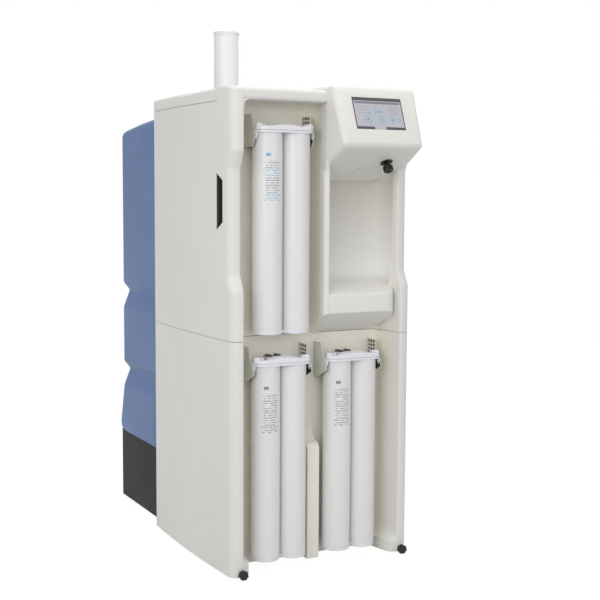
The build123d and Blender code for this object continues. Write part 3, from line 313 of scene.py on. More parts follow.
def grained(tree, tone, shade, rough, grain, grainDepth, coat=0.0, share=(0.7, 0.15)):
    # the colour drifts a little towards its shade over a hand's width, and a fine grain stands in the surface
    drift, fine = tree.noise(5), tree.noise(grain, 2, 0.6)
    tree.set(
        Base_Color=tree.mix(drift * share[0] + fine * share[1], tone, shade),
        Roughness=drift * 0.12 + fine * 0.1 + (rough - 0.11),
        Normal=tree.bump(fine, 0.35, grainDepth), Coat_Weight=coat,
    )


coverFinish = {"rough": 0.46, "grain": 900, "grainDepth": 0.00012}
bayPaintedLight = {"half": 0.2362, "ceiling": 1.24, "back": 130, "from": 15, "over": 60}  # metres, then mm of depth
alcovePaintedShade = {"ceiling": 1.06, "over": 0.26}  # metres


def coverPlastic():
    # the covers' white, with painted light in the bays: it turns brighter and warmer with depth, standing in for the
    # light that fills the recesses; the turn is (depth - 15) / 60, held between 0 and 1, between the bays' walls and
    # below their ceiling
    tree, g = Surface("coverWhite"), bayPaintedLight
    x, y, z = tree.axes()
    depth = y * 1000 - frontPlane
    inBay = (abs(x) < g["half"]) * (z < g["ceiling"]) * (depth < g["back"])
    # painted light: the bays' walls made brighter and warmer the deeper they lie
    turn = ((depth - g["from"]) / g["over"]).most(0).least(1) * inBay
    tone = tree.mix(turn, linear(229, 228, 224), linear(247, 243, 231))
    shade = tree.mix(turn, linear(221, 220, 215), linear(239, 235, 222))
    grained(tree, tone, shade, **coverFinish)


def alcovePlastic():
    # the alcove's white with painted shade, darker at its ceiling under the console and lighter towards the ledge: the
    # mix is (1.06 - height) / 0.26
    tree, g = Surface("alcoveWhite"), alcovePaintedShade
    fall = ((g["ceiling"] - tree.axes()[2]) / g["over"]).most(0).least(1)
    tone = tree.mix(fall, linear(196, 193, 184), linear(235, 234, 229))
    grained(tree, tone, linear(190, 187, 179), share=(0.12, 0.03), **coverFinish)


def brushedMetal(name, colour, rough, direction):
    # hairlines are noise stretched along one axis
    tree = Surface(name)
    stretched = tree.add("ShaderNodeMapping", None, {"Vector": tree.point, "Scale": direction})
    hair = tree.add("ShaderNodeTexNoise", None, {"Vector": stretched, "Scale": 900, "Detail": 2})
    tone = tree.mix(hair * 0.5, colour, tuple(c * 0.7 for c in colour[:3]) + (1.0,))
    tree.set(
        Base_Color=tone, Metallic=1.0, Roughness=hair * 0.2 + rough, Normal=tree.bump(hair, 0.15, 0.00005)
    )


# each plastic's tone and shade, its roughness, its grain's scale and depth, and its coat
plastics = {
    "consoleWhite": ((228, 227, 223), (221, 219, 213), 0.4, 1200, 0.00008),
    "capWhite": ((236, 235, 241), (226, 226, 234), 0.3, 500, 0.0001, 0.3),
    "filterWhite": ((240, 240, 239), (232, 232, 231), 0.38, 800, 0.0001),
    "gripDark": ((42, 41, 41), (34, 33, 33), 0.6, 700, 0.0002),
    "tankBlue": ((98, 125, 172), (88, 114, 160), 0.5, 260, 0.0005),
    "plinthBlack": ((14, 14, 16), (10, 10, 12), 0.7, 500, 0.0004),
    "knobBlack": ((9, 9, 9), (5, 5, 5), 0.5, 500, 0.0002),
    "portBlack": ((84, 84, 85), (66, 66, 67), 0.4, 500, 0.0001),
    "footRubber": ((38, 38, 38), (30, 30, 30), 0.75, 400, 0.0003),
    "sheetGrey": ((200, 200, 199), (188, 188, 187), 0.42, 600, 0.0002),
    "frameGrey": ((106, 107, 110), (94, 95, 98), 0.45, 600, 0.0002),
    "vesselWhite": ((228, 227, 221), (214, 212, 205), 0.4, 600, 0.0002),
    "hoseBlue": ((70, 96, 160), (60, 84, 145), 0.4, 700, 0.0001),
    "valveGrey": ((160, 160, 158), (146, 146, 144), 0.45, 600, 0.0001),
    "castAlloy": ((150, 151, 154), (132, 133, 136), 0.5, 420, 0.0005),
}
for name, (tone, shade, *settings) in plastics.items():
    grained(Surface(name), linear(*tone), linear(*shade), *settings)
coverPlastic()
alcovePlastic()
brushedMetal("steel", linear(190, 190, 192), 0.24, (1, 1, 0.02))
brushedMetal("dockSteel", linear(184, 184, 186), 0.3, (0.02, 1, 1))
print("materials made")

cover = {
    "halfWidth": 270, "depth": 543, "top": 1268, "bulge": 8, "corner": 26, "brow": 12, "edge": 6,
    "columnInner": 235.5, "bayHalf": 222, "bayDepth": 104, "cove": 25, "coreDepth": 46, "wall": 7, "lining": 5,
    "seam": 624, "seamGap": 1.2, "lidSeam": 1234.5, "headerDepth": 86.8, "headerBottom": 1236, "slabTop": 1241,
    "scallop": 21, "scallopLow": (752, 793), "scallopHigh": (1064, 1108), "scallopRound": 12, "skirt": 8,
    "toeTop": 80, "toeLow": 40, "toeReach": 21, "toeTurn": 0.4, "wallRows": (0.04, 0.94),
}


def bayWall(depth):  # x of the right column's inner face at a depth; the left one's is its mirror image
    c = cover
    run = c["bayDepth"] - c["cove"] - c["edge"]
    return c["columnInner"] - (c["columnInner"] - c["bayHalf"]) * np.clip((depth - c["edge"]) / run, 0, 1)


def sideOutline(setback, edgeRadius, toeShare, back, core):
    # the left cover's plan at each level: a side bowed by 4 t (1 - t), a round corner, the column's face, the bay
    # wall with its cove, and the way back inside; a toe moves the wall in, first along a quarter circle
    c = cover
    toe = c["toeReach"] * toeShare
    front = (setback + c["corner"])[:, None]
    bowDepth = back + (front - back) * np.linspace(0, 1, 22)
    t = (bowDepth - front) / (c["depth"] - front)
    bow = paired(-c["halfWidth"] - c["bulge"] * 4 * t * (1 - t), bowDepth)
    outer, inner = paired(-c["halfWidth"], setback), paired(-c["columnInner"], setback)
    wallEnd = paired(-c["bayHalf"] + toe, c["bayDepth"] - c["cove"])
    corner = arcCorner(bow[:, -1], outer, inner, c["corner"], 9)
    edge = arcCorner(outer, inner, wallEnd, edgeRadius, 7)
    along = np.linspace(*c["wallRows"], 12)
    wall = edge[:, -1:] + (wallEnd[:, None] - edge[:, -1:]) * along[:, None]
    wall[..., 0] += toe[:, None] * (np.sqrt(1 - (1 - np.minimum(along / c["toeTurn"], 1)) ** 2) - along)
    coveCorner = paired(-c["bayHalf"] + toe, c["bayDepth"])
    cove = arcCorner(wallEnd, coveCorner, (c["cove"] - c["bayHalf"], c["bayDepth"]), c["cove"] - toe * 0.6, 8)
    behind, hidden = c["bayDepth"] + c["lining"], c["wall"] - c["halfWidth"]
    inside = [
        (c["cove"] - c["bayHalf"], behind), (-c["bayHalf"] - c["lining"], behind),
        (-c["columnInner"] - c["lining"], core), (hidden, core), (hidden, back),
    ]
    tail = np.broadcast_to(inside, (len(setback), len(inside), 2))
    return np.concatenate([bow, corner, edge, wall, cove, tail], axis=1)


def sideShell(heights, scallop, back, core, toes=False):
    # the plan at each height: the brow sets it back by brow - sqrt(brow^2 - above^2), and a toe's share is
    # 1 - sqrt(1 - (1 - rise)^2); what would lie behind the back is drawn in to one point
    c = cover
    above = np.clip(heights - (c["top"] - c["brow"]), 0, c["brow"])
    brow = c["brow"] - np.sqrt(c["brow"] ** 2 - above**2)
    fade = 1 - smoothStep(c["headerBottom"] - 4, c["slabTop"], heights)
    rise = np.clip((heights - c["toeLow"]) / (c["toeTop"] - c["toeLow"]), 0, 1)
    share = 1 - np.sqrt(1 - (1 - rise) ** 2) if toes else 0 * heights
    plan = sideOutline(scallop + brow, c["edge"] * fade + 0.05, share, back, core)
    plan[plan[..., 1] > back + 0.01] = (-c["bayHalf"], back)
    return place(plan[..., 0], plan[..., 1], heights[:, None])


grip = {"low": 906.2, "high": 1053.8, "front": 55.7, "back": 90.3, "chamfer": 20, "reach": (-290, -245)}


def gripPrism():
    # the slot's outline, its two front corners cut off, carried through the side cover from the left
    low, high, front, back, chamfer, reach = grip.values()
    outline = np.array([(back, low), (back, high), (front, high - chamfer), (front, low + chamfer)])
    return place(standing(reach), *outline.T)


def columnFront():
    # the column's face as (setback, height) points: flat, sloping into the scallop, and out of it again
    c = cover
    low, high = c["scallopLow"], c["scallopHigh"]
    corners = [
        (0, c["seam"] + gap), (0, low[0]), (c["scallop"], low[1]), (c["scallop"], high[0]), (0, high[1]),
        (0, c["lidSeam"]),
    ]
    return softPath(corners, c["scallopRound"])


gap = cover["seamGap"] / 2
setbacks, upperHeights = columnFront().T
browHeights = cover["top"] - cover["brow"] + cover["brow"] * np.sin(quarterTurn(9))
crownHeights = np.concatenate([np.linspace(cover["lidSeam"], cover["slabTop"], 4), [1250], browHeights])
toeHeights = cover["toeLow"] + (cover["toeTop"] - cover["toeLow"]) * np.linspace(0, 1, 14) ** 2
lowerHeights = np.concatenate([
    [cover["skirt"], 25, cover["toeLow"] - 1.5], toeHeights, [200, 400, cover["seam"] - gap],
])
upperShell = sideShell(upperHeights, setbacks, cover["depth"], cover["coreDepth"])
crownShell = sideShell(crownHeights, 0, cover["headerDepth"], cover["headerDepth"] - 0.1)
lowerShell = sideShell(lowerHeights, 0, cover["depth"], cover["coreDepth"], toes=True)
upperForm = joined(cutAway(solidFrom([upperShell]), solidFrom([gripPrism()])), solidFrom([crownShell]))
for side, sign in (("left", 1), ("right", -1)):
    for level, (points, faces) in (("upper", upperForm), ("lower", solidFrom([lowerShell]))):
        form = points * (sign, 1, 1), faces
        makePiece(f"{level}_{side}_cover", form, f"{level}_{side}_side", "coverWhite", bevel=0.9)
print("side covers made")

header = {
    "right": 11, "lower": 8, "overlap": 0.3, "cornerRound": 16, "cornerBehind": 1.5,
    "cornerDepths": (1.5, 4, 7, 30, 60, 100), "backCove": 20, "coveSpan": (-200, -100, 8), "browSpan": (0.3, 5, 11),
}


def headerShell():
    # the header's side view, with a round brow and a round lower edge, carried along X from the bay wall
    h, c = header, cover
    view = [
        (0, c["headerBottom"]), (0, c["top"]), (c["headerDepth"], c["top"]), (c["headerDepth"], c["slabTop"]),
        (c["bayDepth"], c["slabTop"]), (c["bayDepth"], c["headerBottom"]),
    ]
    ring = roundedLoop(view, [h["lower"], c["brow"], 0.6, 0.5, 0.5, 0.5], 8)[0]
    left = -bayWall(ring[:, 0]) - h["overlap"]
    share = standing([0, 0.01, 0.05, *np.linspace(0.1, 1, 12)])
    return place(left + (h["right"] - left) * share, *ring.T)


def headerCorner():
    # what rounds the bay's top left corner: a section with one hollow arc, carried back along the bay wall
    r, behind = header["cornerRound"], header["cornerBehind"]
    angle = np.linspace(math.pi, math.pi / 2, 9)
    arc = paired(r + r * np.cos(angle), -r + r * np.sin(angle))
    across, up = np.concatenate([[(-behind, behind), (-behind, -r)], arc, [(r, behind)]]).T
    depth = standing(header["cornerDepths"])
    return place(-bayWall(depth) + across, depth, cover["headerBottom"] + up)


def headerFillers():
    # hollow corners along X: one rounds the bay's ceiling into its back, one closes the brow by the console
    back, low, top = cover["bayDepth"], cover["headerBottom"], cover["top"]
    cove = hollowCorner((back, low), (0, low), (back, 0), header["backCove"])
    brow = hollowCorner((0, top), (0, 0), (back, top), cover["brow"])
    return [place(standing(header[span]), *ring.T) for span, ring in (("coveSpan", cove), ("browSpan", brow))]


makePiece("header_cover", solidFrom([headerShell(), headerCorner(), *headerFillers()]), "front_header", "coverWhite")

divider = {
    "left": -3, "right": 11, "backLeft": 17, "backRight": 27, "radius": 11, "foot": 685, "footBack": 625.2,
    "backCove": 44, "notch": (1060, 1066),
}


def dividerShell():
    # its plan, round at the front left but square beside the console, carried up; its foot slopes down to the seam
    d, c = divider, cover
    low, high = d["notch"]
    levels = [c["seam"], *np.linspace(640, low, 12), *np.linspace(low + 1, high, 5), 1150, c["headerBottom"]]
    square = smoothStep(low, high, levels)
    plan = [(d["left"], 0), (d["right"], 0), (d["backRight"], c["bayDepth"]), (d["backLeft"], c["bayDepth"])]
    plan = np.tile(np.array(plan, float), (len(levels), 1, 1))
    plan[:, 0, 0] -= d["left"] * square
    radii = np.tile([d["radius"], 0.4, 0.5, 0.5], (len(levels), 1))
    radii[:, 0] -= (d["radius"] - 0.5) * square
    ring = roundedLoop(plan, radii, 12)
    foot = d["foot"] + (d["footBack"] - d["foot"]) * ring[..., 1] / c["bayDepth"]
    levels = standing(levels)
    return place(ring[..., 0], ring[..., 1], np.maximum(levels, foot + (levels - c["seam"]) * 0.02))


def dividerCove():
    # what rounds the bay's back into the post's left face, carried up
    d, depth = divider, cover["bayDepth"]
    low, high = d["notch"]
    rings = []
    for left, height in ((d["left"], d["footBack"]), (d["left"], low), (0, high), (0, cover["headerBottom"] + 1)):
        ring = hollowCorner((d["backLeft"], depth), (-200, depth), (left, 0), d["backCove"])
        rings.append(place(*ring.T, height))
    return np.array(rings)


makePiece("divider_cover", solidFrom([dividerShell(), dividerCove()]), "divider_post", "coverWhite")

ledge = {
    "bottom": 685, "top": 735, "backTop": 765, "depth": 95, "round": 9, "under": 5, "floor": 625.2, "rise": 22,
    "corner": 42, "bite": 0.5, "clear": 0.2,
}


def dividerFace(depth):  # x of the post's right face at a depth, with the ledge's clearance
    d = divider
    return d["right"] + (d["backRight"] - d["right"]) * depth / cover["bayDepth"] + ledge["clear"]


def ledgeShell():
    # at each x its side view: a block that slopes in below and sweeps up into the alcove's back by a quarter circle;
    # its front edge follows an arc round the right corner, r - sqrt(r^2 - x^2)
    g, c = ledge, cover
    r = g["corner"]
    cornerX = bayWall(r) + g["bite"] - r
    bend = cornerX + r * np.sin(np.linspace(0.08, 1, 12) * math.pi / 2)
    xFront = np.concatenate([np.linspace(divider["right"] + g["clear"], cornerX, 12), bend])
    front = r - np.sqrt(np.maximum(r**2 - np.clip(xFront - cornerX, 0, r) ** 2, 0))
    backEdge = c["bayDepth"] - 0.5
    low = paired(front, g["bottom"] + (g["floor"] - g["bottom"]) * front / backEdge)
    top = paired(front, g["top"] + (g["backTop"] - g["top"]) * front / g["depth"])
    turn = np.linspace(0, 1, 9)[1:] * math.pi / 2
    sweep = paired(g["depth"] - g["rise"] * (1 - np.sin(turn)), g["backTop"] + g["rise"] * (1 - np.cos(turn)))
    lip = arcCorner(low, top, sweep[0], g["round"], 8)
    under = arcCorner((backEdge, g["floor"]), low, top, g["under"], 6)
    behind = np.concatenate([sweep, [(backEdge, g["backTop"] + g["rise"]), (backEdge, g["floor"])]])
    ring = np.concatenate([under, lip, np.broadcast_to(behind, (len(front), *behind.shape))], axis=1)
    depth, z = ring[..., 0], ring[..., 1]
    share = (xFront - dividerFace(front)) / (bayWall(front) + g["bite"] - dividerFace(front))
    inCove = np.clip(depth - (c["bayDepth"] - c["cove"]), 0, c["cove"] - 0.5)
    right = bayWall(depth) + g["bite"] - (c["cove"] - np.sqrt(c["cove"] ** 2 - inCove**2))
    return place(dividerFace(depth) + (right - dividerFace(depth)) * np.clip(share, 0, 1)[:, None], depth, z)


makePiece("ledge_cover", solidFrom([ledgeShell()]), "dispense_ledge", "alcoveWhite", bevel=0.6, sharp=50)

liner = {
    "low": 750, "depth": 95, "leftCove": 30, "rightCove": 64, "topCove": 25, "wall": 2, "start": 12, "end": 36,
    "ceiling": 1116, "ceilingFront": -72, "fall": 86, "run": 167,
}


def consoleCeiling(depth):  # the height of the console's underside, which falls towards the back
    g = liner
    return g["ceiling"] - (depth - g["ceilingFront"]) * g["fall"] / g["run"]


def linerShell():
    # a U in plan, with a small cove on the left and a large one on the right, carried up and then forward round a
    # cove under the console
    g = liner
    start = (dividerFace(g["start"]) + 0.4, g["start"])
    end = (bayWall(g["end"]) + 1.2, g["end"])
    backLeft = (dividerFace(g["depth"]) + 0.4, g["depth"])
    backRight = (bayWall(g["depth"]) - 0.6, g["depth"])
    left = arcCorner(start, backLeft, backRight, g["leftCove"], 14)[0]
    right = arcCorner(backLeft, backRight, end, g["rightCove"], 18)[0]
    across = np.linspace(left[-1], right[0], 6)[1:-1]
    plan = np.concatenate([np.linspace(start, left[0], 5)[:-1], left, across, right, [end]])
    along = np.gradient(plan, axis=0)
    inward = unit(paired(along[:, 1], -along[:, 0]))
    reach = smoothStep(38, 88, plan[:, 1]) * (0.5 + 0.5 * smoothStep(20, 80, plan[:, 0]))
    top = consoleCeiling(plan[:, 1])
    cove = arcCorner((0, -g["run"]), (0, 0), (g["run"], g["fall"]), g["topCove"], 12)[0]
    rows = [paired(0, g["low"] + (top + cove[0, 1] - g["low"]) * k) for k in np.linspace(0, 1, 8)[:-1]]
    for (push, lift), rise in zip(cove, np.linspace(cove[0, 1], 0, len(cove))):
        rows.append(paired(push * reach, top + lift * reach + rise * (1 - reach)))
    rows = np.array(rows)
    x, depth = np.moveaxis(plan + rows[..., :1] * inward, -1, 0)
    return place(x, depth, np.minimum(rows[..., 1], consoleCeiling(depth) - 0.2))


grid = linerShell()
linerForm = grid.reshape(-1, 3), gridFaces(*grid.shape[:2], False)
linerPiece = makePiece("alcove_liner", linerForm, "alcove_back", "alcoveWhite", sharp=60)
linerWall = linerPiece.modifiers.new("wall", "SOLIDIFY")
linerWall.thickness, linerWall.offset = liner["wall"] / 1000, 0
print("front covers made")

tank = {
    "halfWidth": 255, "front": 552, "back": 901, "corner": 42, "foot": 235, "shoulder": 20,
    "crown": (1224, 1210, 1184), "rings": 9, "risingRings": 8,
}
# height above the foot, and how far the wall is drawn in there
tankLevels = ((0, 1), (12, -8), (28, -10), (150, 0), (204, 17), (227, 0), (402, 0), (456, 17), (482, 0))


def tankCrown(depth):  # the arc through the crown's three heights, as a parabola in depth
    front, middle, back = tank["crown"]
    t = (depth - tank["front"] + tank["corner"]) / (tank["back"] - tank["front"] + 2 * tank["corner"])
    return front * (1 - t) * (1 - 2 * t) + middle * 4 * t * (1 - t) + back * t * (2 * t - 1)


def tankRing(inset):  # the plan, drawn in: a rectangle with its corners swapped for arcs
    g = tank
    wide, front, back = g["halfWidth"] - inset, g["front"] + inset, g["back"] - inset
    corners = [(-wide, front), (wide, front), (wide, back), (-wide, back)]
    ring = roundedLoop(corners, max(g["corner"] - inset / 2, 12), 10)[0]
    return np.concatenate([ring, ring[:1] * 0.5 + ring[-1:] * 0.5])


def tankShell():
    # round-cornered rings, drawn in by a level's inset, its course blurred to soften the waists; then a quarter
    # circle up to the crown, and smaller and smaller rings to close it
    g = tank
    fine = np.linspace(0, 760, 381)
    kernel = np.hanning(9) / np.hanning(9).sum()
    inset = np.interp(fine, *np.transpose(tankLevels))
    inset = np.convolve(np.pad(inset, 4, mode="edge"), kernel, mode="valid")
    keep = [*range(0, 256, 2), 270, 300, 330, 360]
    heights, inset = g["foot"] + fine[keep], inset[keep]
    turn = quarterTurn(10)
    shoulder, drop = g["shoulder"] * (1 - np.cos(turn)), g["shoulder"] * (1 - np.sin(turn))
    rings = [tankRing(i) for i in (*inset, *[0] * g["risingRings"], *shoulder)]
    z = [np.full(len(rings[0]), h) for h in heights]
    crownFoot = tankCrown(rings[0][:, 1]) - g["shoulder"]
    z += [heights[-1] + (crownFoot - heights[-1]) * k for k in np.linspace(0.12, 1, g["risingRings"])]
    z += [tankCrown(ring[:, 1]) - d for ring, d in zip(rings[-len(drop):], drop)]
    middle, rim = np.array([0, (g["front"] + g["back"]) / 2]), rings[-1]
    for k in np.linspace(0, 1, g["rings"] + 1)[1:-1]:
        rings.append(middle + (rim - middle) * (1 - k))
        z.append(tankCrown(rings[-1][:, 1]))
    rings = np.array(rings)
    return place(rings[..., 0], rings[..., 1], np.array(z))


makePiece("tank_shell", solidFrom([tankShell()]), "tank_body", "tankBlue", sharp=60)

vent = {
    "x": 0, "depth": 632, "foot": 1244.3, "top": 1491, "radius": 38, "rim": 1.6, "groove": (1255, 1259),
    "socket": 15.05, "socketTop": 1268.3, "tabIn": 36, "tabOut": 43.6, "tabHalf": 5, "tabHeights": (-5, -0.4),
}


def ventShell():
    # a profile with a groove below, a rim above and a socket underneath, turned about the axis; and a small tab
    g = vent
    r, foot, top, rim = g["radius"], g["foot"], g["top"], g["radius"] + g["rim"]
    low, high = g["groove"]
    profile = [
        (0.4, top - 0.6), (10, top - 0.6), (12, top - 1.4), (r - 11, top - 1.4), (r - 9, top - 0.2), (r - 1, top),
        (r + 0.6, top - 0.4), (rim, top - 1.6), (rim, top - 9), (r + 0.2, top - 11), (r, top - 14), (r, high),
        (r - 0.8, high - 1), (r - 0.8, low + 1), (r, low), (r, foot + 1.5), (r - 1.5, foot), (g["socket"], foot),
        (g["socket"], g["socketTop"]), (0.4, g["socketTop"]),
    ]
    near, far, half = g["tabIn"], g["tabOut"], g["tabHalf"]
    tab = roundedLoop([(near, -half), (far, -half), (far, half), (near, half)], [0.3, 2, 2, 0.3], 5)[0]
    return [
        turned(profile, g["x"], g["depth"]),
        place(tab[:, 0], tab[:, 1] + g["depth"], top + standing(g["tabHeights"])),
    ]


makePiece("vent_filter_body", solidFrom(ventShell()), "vent_filter", "filterWhite", "vent_filter")
print("tank made")

cartridge = {
    "upper": {"x": -103, "radius": 39.6, "pitch": 80.6, "foot": 1157, "ear": 9.4, "blue": 0.9},
    "lower_left": {"x": -108, "radius": 38.6, "pitch": 77.6, "foot": 553, "ear": 7.4, "blue": 0.0},
    "lower_right": {"x": 108, "radius": 38.6, "pitch": 77.6, "foot": 553, "ear": 7.4, "blue": 0.0},
}
tube = {"depth": 56, "length": 513, "wall": 3, "capHeight": 10, "webHalf": 13}
tubePrint = {
    "half": 19, "sway": 5, "rowPitch": 6.4, "rowThick": 2.0, "block": (72, 176), "cell": 4.2, "offset": -3,
    "frames": ((92, 118), (158, 172)), "frameHalf": 22, "line": 0.4, "mark": ((-12, 6), (57, 4)),
    "blueRows": (90, 122), "blueFrom": 156,
}


def printedTube(name, at):
    # a glossy white tube; the left one's front has fine dashes in rows, each row's half width the print's half plus
    # a sine of its number, two ruled frames and a mark above; a large sine's small remainders leave dashes out
    tree, g = Surface(name), tubePrint
    x, y, z = tree.axes()
    across = x * 1000 - (at["x"] - at["pitch"] / 2 + g["offset"])
    down = at["foot"] - z * 1000
    row, cell = (down / g["rowPitch"]).floor(), (across / g["cell"]).floor()
    inRow = (down % g["rowPitch"]) < g["rowThick"]
    scatter = ((row * 12.9898 + cell * 78.233).sine() * 43758.5453) % 1
    length = (row * 3.1 + 0.7).sine() * g["sway"] + g["half"]
    dashes = inRow * (scatter > 0.2) * (abs(across) < length) * down.between(*g["block"])
    lines = []
    for low, high in g["frames"]:
        lines.append(abs(across).near(g["frameHalf"], g["line"]) * down.between(low, high))
        lines.append((down.near(low, g["line"]) + down.near(high, g["line"])) * (abs(across) < g["frameHalf"]))
    mark = across.near(*g["mark"][0]) * down.near(*g["mark"][1])
    front = y * 1000 < tube["depth"] + frontPlane
    ink = anyOf(dashes * 0.75, anyOf(*lines) * 0.6, mark * 0.85) * front
    blue = anyOf(down.between(*g["blueRows"]), down > g["blueFrom"], mark) * at["blue"]
    drift = tree.noise(6)
    shell = tree.mix(drift * 0.6, linear(230, 230, 229), linear(223, 224, 225))
    inkColour = tree.mix(blue, linear(108, 110, 116), linear(110, 170, 212))
    return tree.set(
        Base_Color=tree.mix(ink, shell, inkColour), Roughness=drift * 0.1 + 0.28, Coat_Weight=0.2,
        Normal=tree.bump(tree.noise(300), 0.12, 0.0001),
    )


def twins(section, at):  # a section, given from a tube's radius and lower end, turned about both tubes' axes
    profile = np.add(section, (at["radius"], at["foot"] - tube["length"]))
    return [turned(profile, at["x"] + side * at["pitch"], tube["depth"], 96) for side in (-0.5, 0.5)]


def tubeShells(at):
    # two hollow tubes: a wall's section with a fine groove near its lower end, turned
    wall, top = -tube["wall"], tube["length"]
    section = [
        (wall, 0), (-0.6, 0), (0, 0.6), (0, 4), (-0.35, 4.4), (-0.35, 5.2), (0, 5.6), (0, top - 6),
        (-0.3, top - 5.6), (-0.3, top), (wall, top), (wall, 0),
    ]
    return solidFrom(twins(section, at), capped=False)


def capShells(at):
    # two foot caps, each a solid section with a groove, turned, and a flat web between them
    low, axis = -tube["capHeight"], 0.4 - at["radius"]
    section = [
        (axis, low + 1.2), (-14, low + 1.2), (-12, low), (-3, low), (-0.9, low + 0.9), (0, low + 3), (0, low + 5.4),
        (-0.7, low + 6), (-0.7, low + 6.8), (0, low + 7.4), (0, 0), (-3.3, 0), (-3.3, 12), (axis, 12),
    ]
    half, wide = at["pitch"] / 2, tube["webHalf"]
    web = roundedLoop([(-half, -wide), (half, -wide), (half, wide), (-half, wide)], 1, 4)[0]
    levels = at["foot"] - tube["length"] + standing([low + 3, -0.2])
    return solidFrom([*twins(section, at), place(web[:, 0] + at["x"], web[:, 1] + tube["depth"], levels)])


handle = {
    "half": 83.3, "lip": 2, "corner": 28, "width": 9, "spread": 14, "slope": 5, "broad": (34, 58), "floor": 6,
    "crest": 24.5, "dip": 16, "dipAt": 59, "soft": 2.6, "pivotDepth": 37, "pivotHeight": 15.5, "earRound": 6,
    "earInner": 63, "earLength": 19, "pinHole": 3.05,
}


def bowTop(x):  # the bow's top above the head's foot: from dip to crest as (1 - t^2.6)^1.5, t being x by dipAt
    g = handle
    return g["dip"] + (g["crest"] - g["dip"]) * (1 - np.clip(np.abs(x) / g["dipAt"], 0, 1) ** 2.6) ** 1.5


def handleShell(at):
    # the bow: a soft four-sided section carried along the head's front rim and round its corners, under the arched
    # top, broader and sloping to the front in the middle; then a round ear about the pivot at each end
    g = handle
    turnX, turnDepth = g["half"] - g["corner"], tube["depth"] - at["radius"] - g["lip"] + g["corner"]
    first = math.pi + math.asin((turnDepth - g["pivotDepth"]) / g["corner"])
    bend = np.linspace(first, 1.5 * math.pi, 16)
    level = np.linspace(-turnX, turnX, 25)[1:-1]
    angle = np.concatenate([bend, np.full(len(level), 1.5 * math.pi), 3 * math.pi - bend[::-1]])
    centre = np.concatenate([np.full(len(bend), -turnX), level, np.full(len(bend), turnX)])
    outward = paired(np.cos(angle), np.sin(angle))
    rim = centre + g["corner"] * outward[:, 0]
    share = 1 - smoothStep(*g["broad"], np.abs(rim))
    inner, outer = g["corner"] - g["width"] - g["spread"] * share, g["corner"]
    low, top = at["foot"] + g["floor"], at["foot"] + bowTop(rim)
    edge = top - g["slope"] * share
    corners = np.stack([paired(inner, low), paired(outer, low + 0 * rim), paired(outer, edge), paired(inner, top)], 1)
    section = roundedLoop(corners, [1, 1, g["soft"], g["soft"]], 6)
    x = at["x"] + centre[:, None] + section[..., 0] * outward[:, :1]
    depth = turnDepth + section[..., 0] * outward[:, 1:]
    r, length, soft, hole = at["ear"], g["earLength"], g["earRound"], g["pinHole"]
    turn = quarterTurn(7)
    near = paired(r - soft + soft * np.sin(turn), soft - soft * np.cos(turn))
    far = paired(near[::-1, 0], length - near[::-1, 1])
    profile = np.concatenate([[(hole, 0)], near, far, [(hole, length), (hole, 0)]])
    ears = []
    for side in (-1, 1):
        origin = place(at["x"] + side * g["earInner"], g["pivotDepth"], at["foot"] + g["pivotHeight"])
        ears.append(turnedAbout(profile, origin, (side, 0, 0), 44))
    return joined(solidFrom([place(x, depth, section[..., 1])]), solidFrom(ears, capped=False))


bracketWindow = {"wall": (84.0, 86.0), "first": (8, 6), "pitch": (13, 10.5), "size": (9, 6.5), "count": (3, 4)}


def shadedBracketGrey(name, at):
    # grey plastic with painted shade on the rails and inside the windows, where they are darkened: a window is where
    # the remainders of depth and height lie in its size
    tree, g = Surface(name), bracketWindow
    x, y, z = tree.axes()
    away = abs(x * 1000 - at["x"])
    ahead = (cover["bayDepth"] + frontPlane - g["first"][0]) - y * 1000
    up = z * 1000 - (at["foot"] + g["first"][1])
    inner = (away < g["wall"][0]) * (z * 1000 < at["foot"] - 1)
    columns, rows = (
        way.between(0, pitch * count) * ((way % pitch) < size)
        for way, pitch, count, size in zip((ahead, up), g["pitch"], g["count"], g["size"])
    )
    drift, fine = tree.noise(8), tree.noise(700, 2, 0.6)
    grey = tree.mix(drift * 0.7 + fine * 0.15, linear(214, 214, 206), linear(200, 200, 191))
    return tree.set(
        # painted shade: the window floors and the lower inner faces of the rails darkened
        Base_Color=tree.mix((away.between(*g["wall"]) * columns * rows).most(inner) * 0.95, grey, linear(38, 36, 32)),
        Roughness=drift * 0.1 + fine * 0.1 + 0.38, Normal=tree.bump(fine, 0.35, 0.0001),
    )


for name, at in cartridge.items():
    body, white = f"{name}_cartridge", "capWhite"
    makePiece(f"{name}_tube_pair", tubeShells(at), f"{name}_tubes", printedTube(f"{name}TubeWhite", at), body)
    makePiece(f"{name}_foot_caps", capShells(at), f"{name}_end_caps", white, body)
    makePiece(f"{name}_handle_bow", handleShell(at), f"{name}_handle", white, f"{name}_handle")
    softened(f"{name}_head", white, body, bevel=0.5)
    softened(f"{name}_ports", "portBlack", body, bevel=0.6)
    softened(f"{name}_bracket", shadedBracketGrey(f"{name}BracketGrey", at), bevel=0.4)
print("cartridges made")

screen = {  # across from its middle and up from its foot
    "x": 127, "half": 74.75, "height": 89, "bars": (8, 80), "sideBar": 3, "homeGap": (-3, 17), "status": (72, 78),
    "statusHalf": 69, "rings": ((-36, 10), (7, 9.5), (38, 9.5)), "ringHeight": 28, "ringLine": 1.1, "dot": 3,
    "arrow": 62, "arrowLean": 1.4, "arrowSize": 4.5, "stem": (-10, 1.5), "stemHeights": (38, 64),
    "badge": ((3, 9), (50, 3.5)), "rowPitch": 8, "rowGap": 5, "cell": 3.4, "textHeights": (42, 68),
    "texts": ((-44, 18), (46, 17)),
}


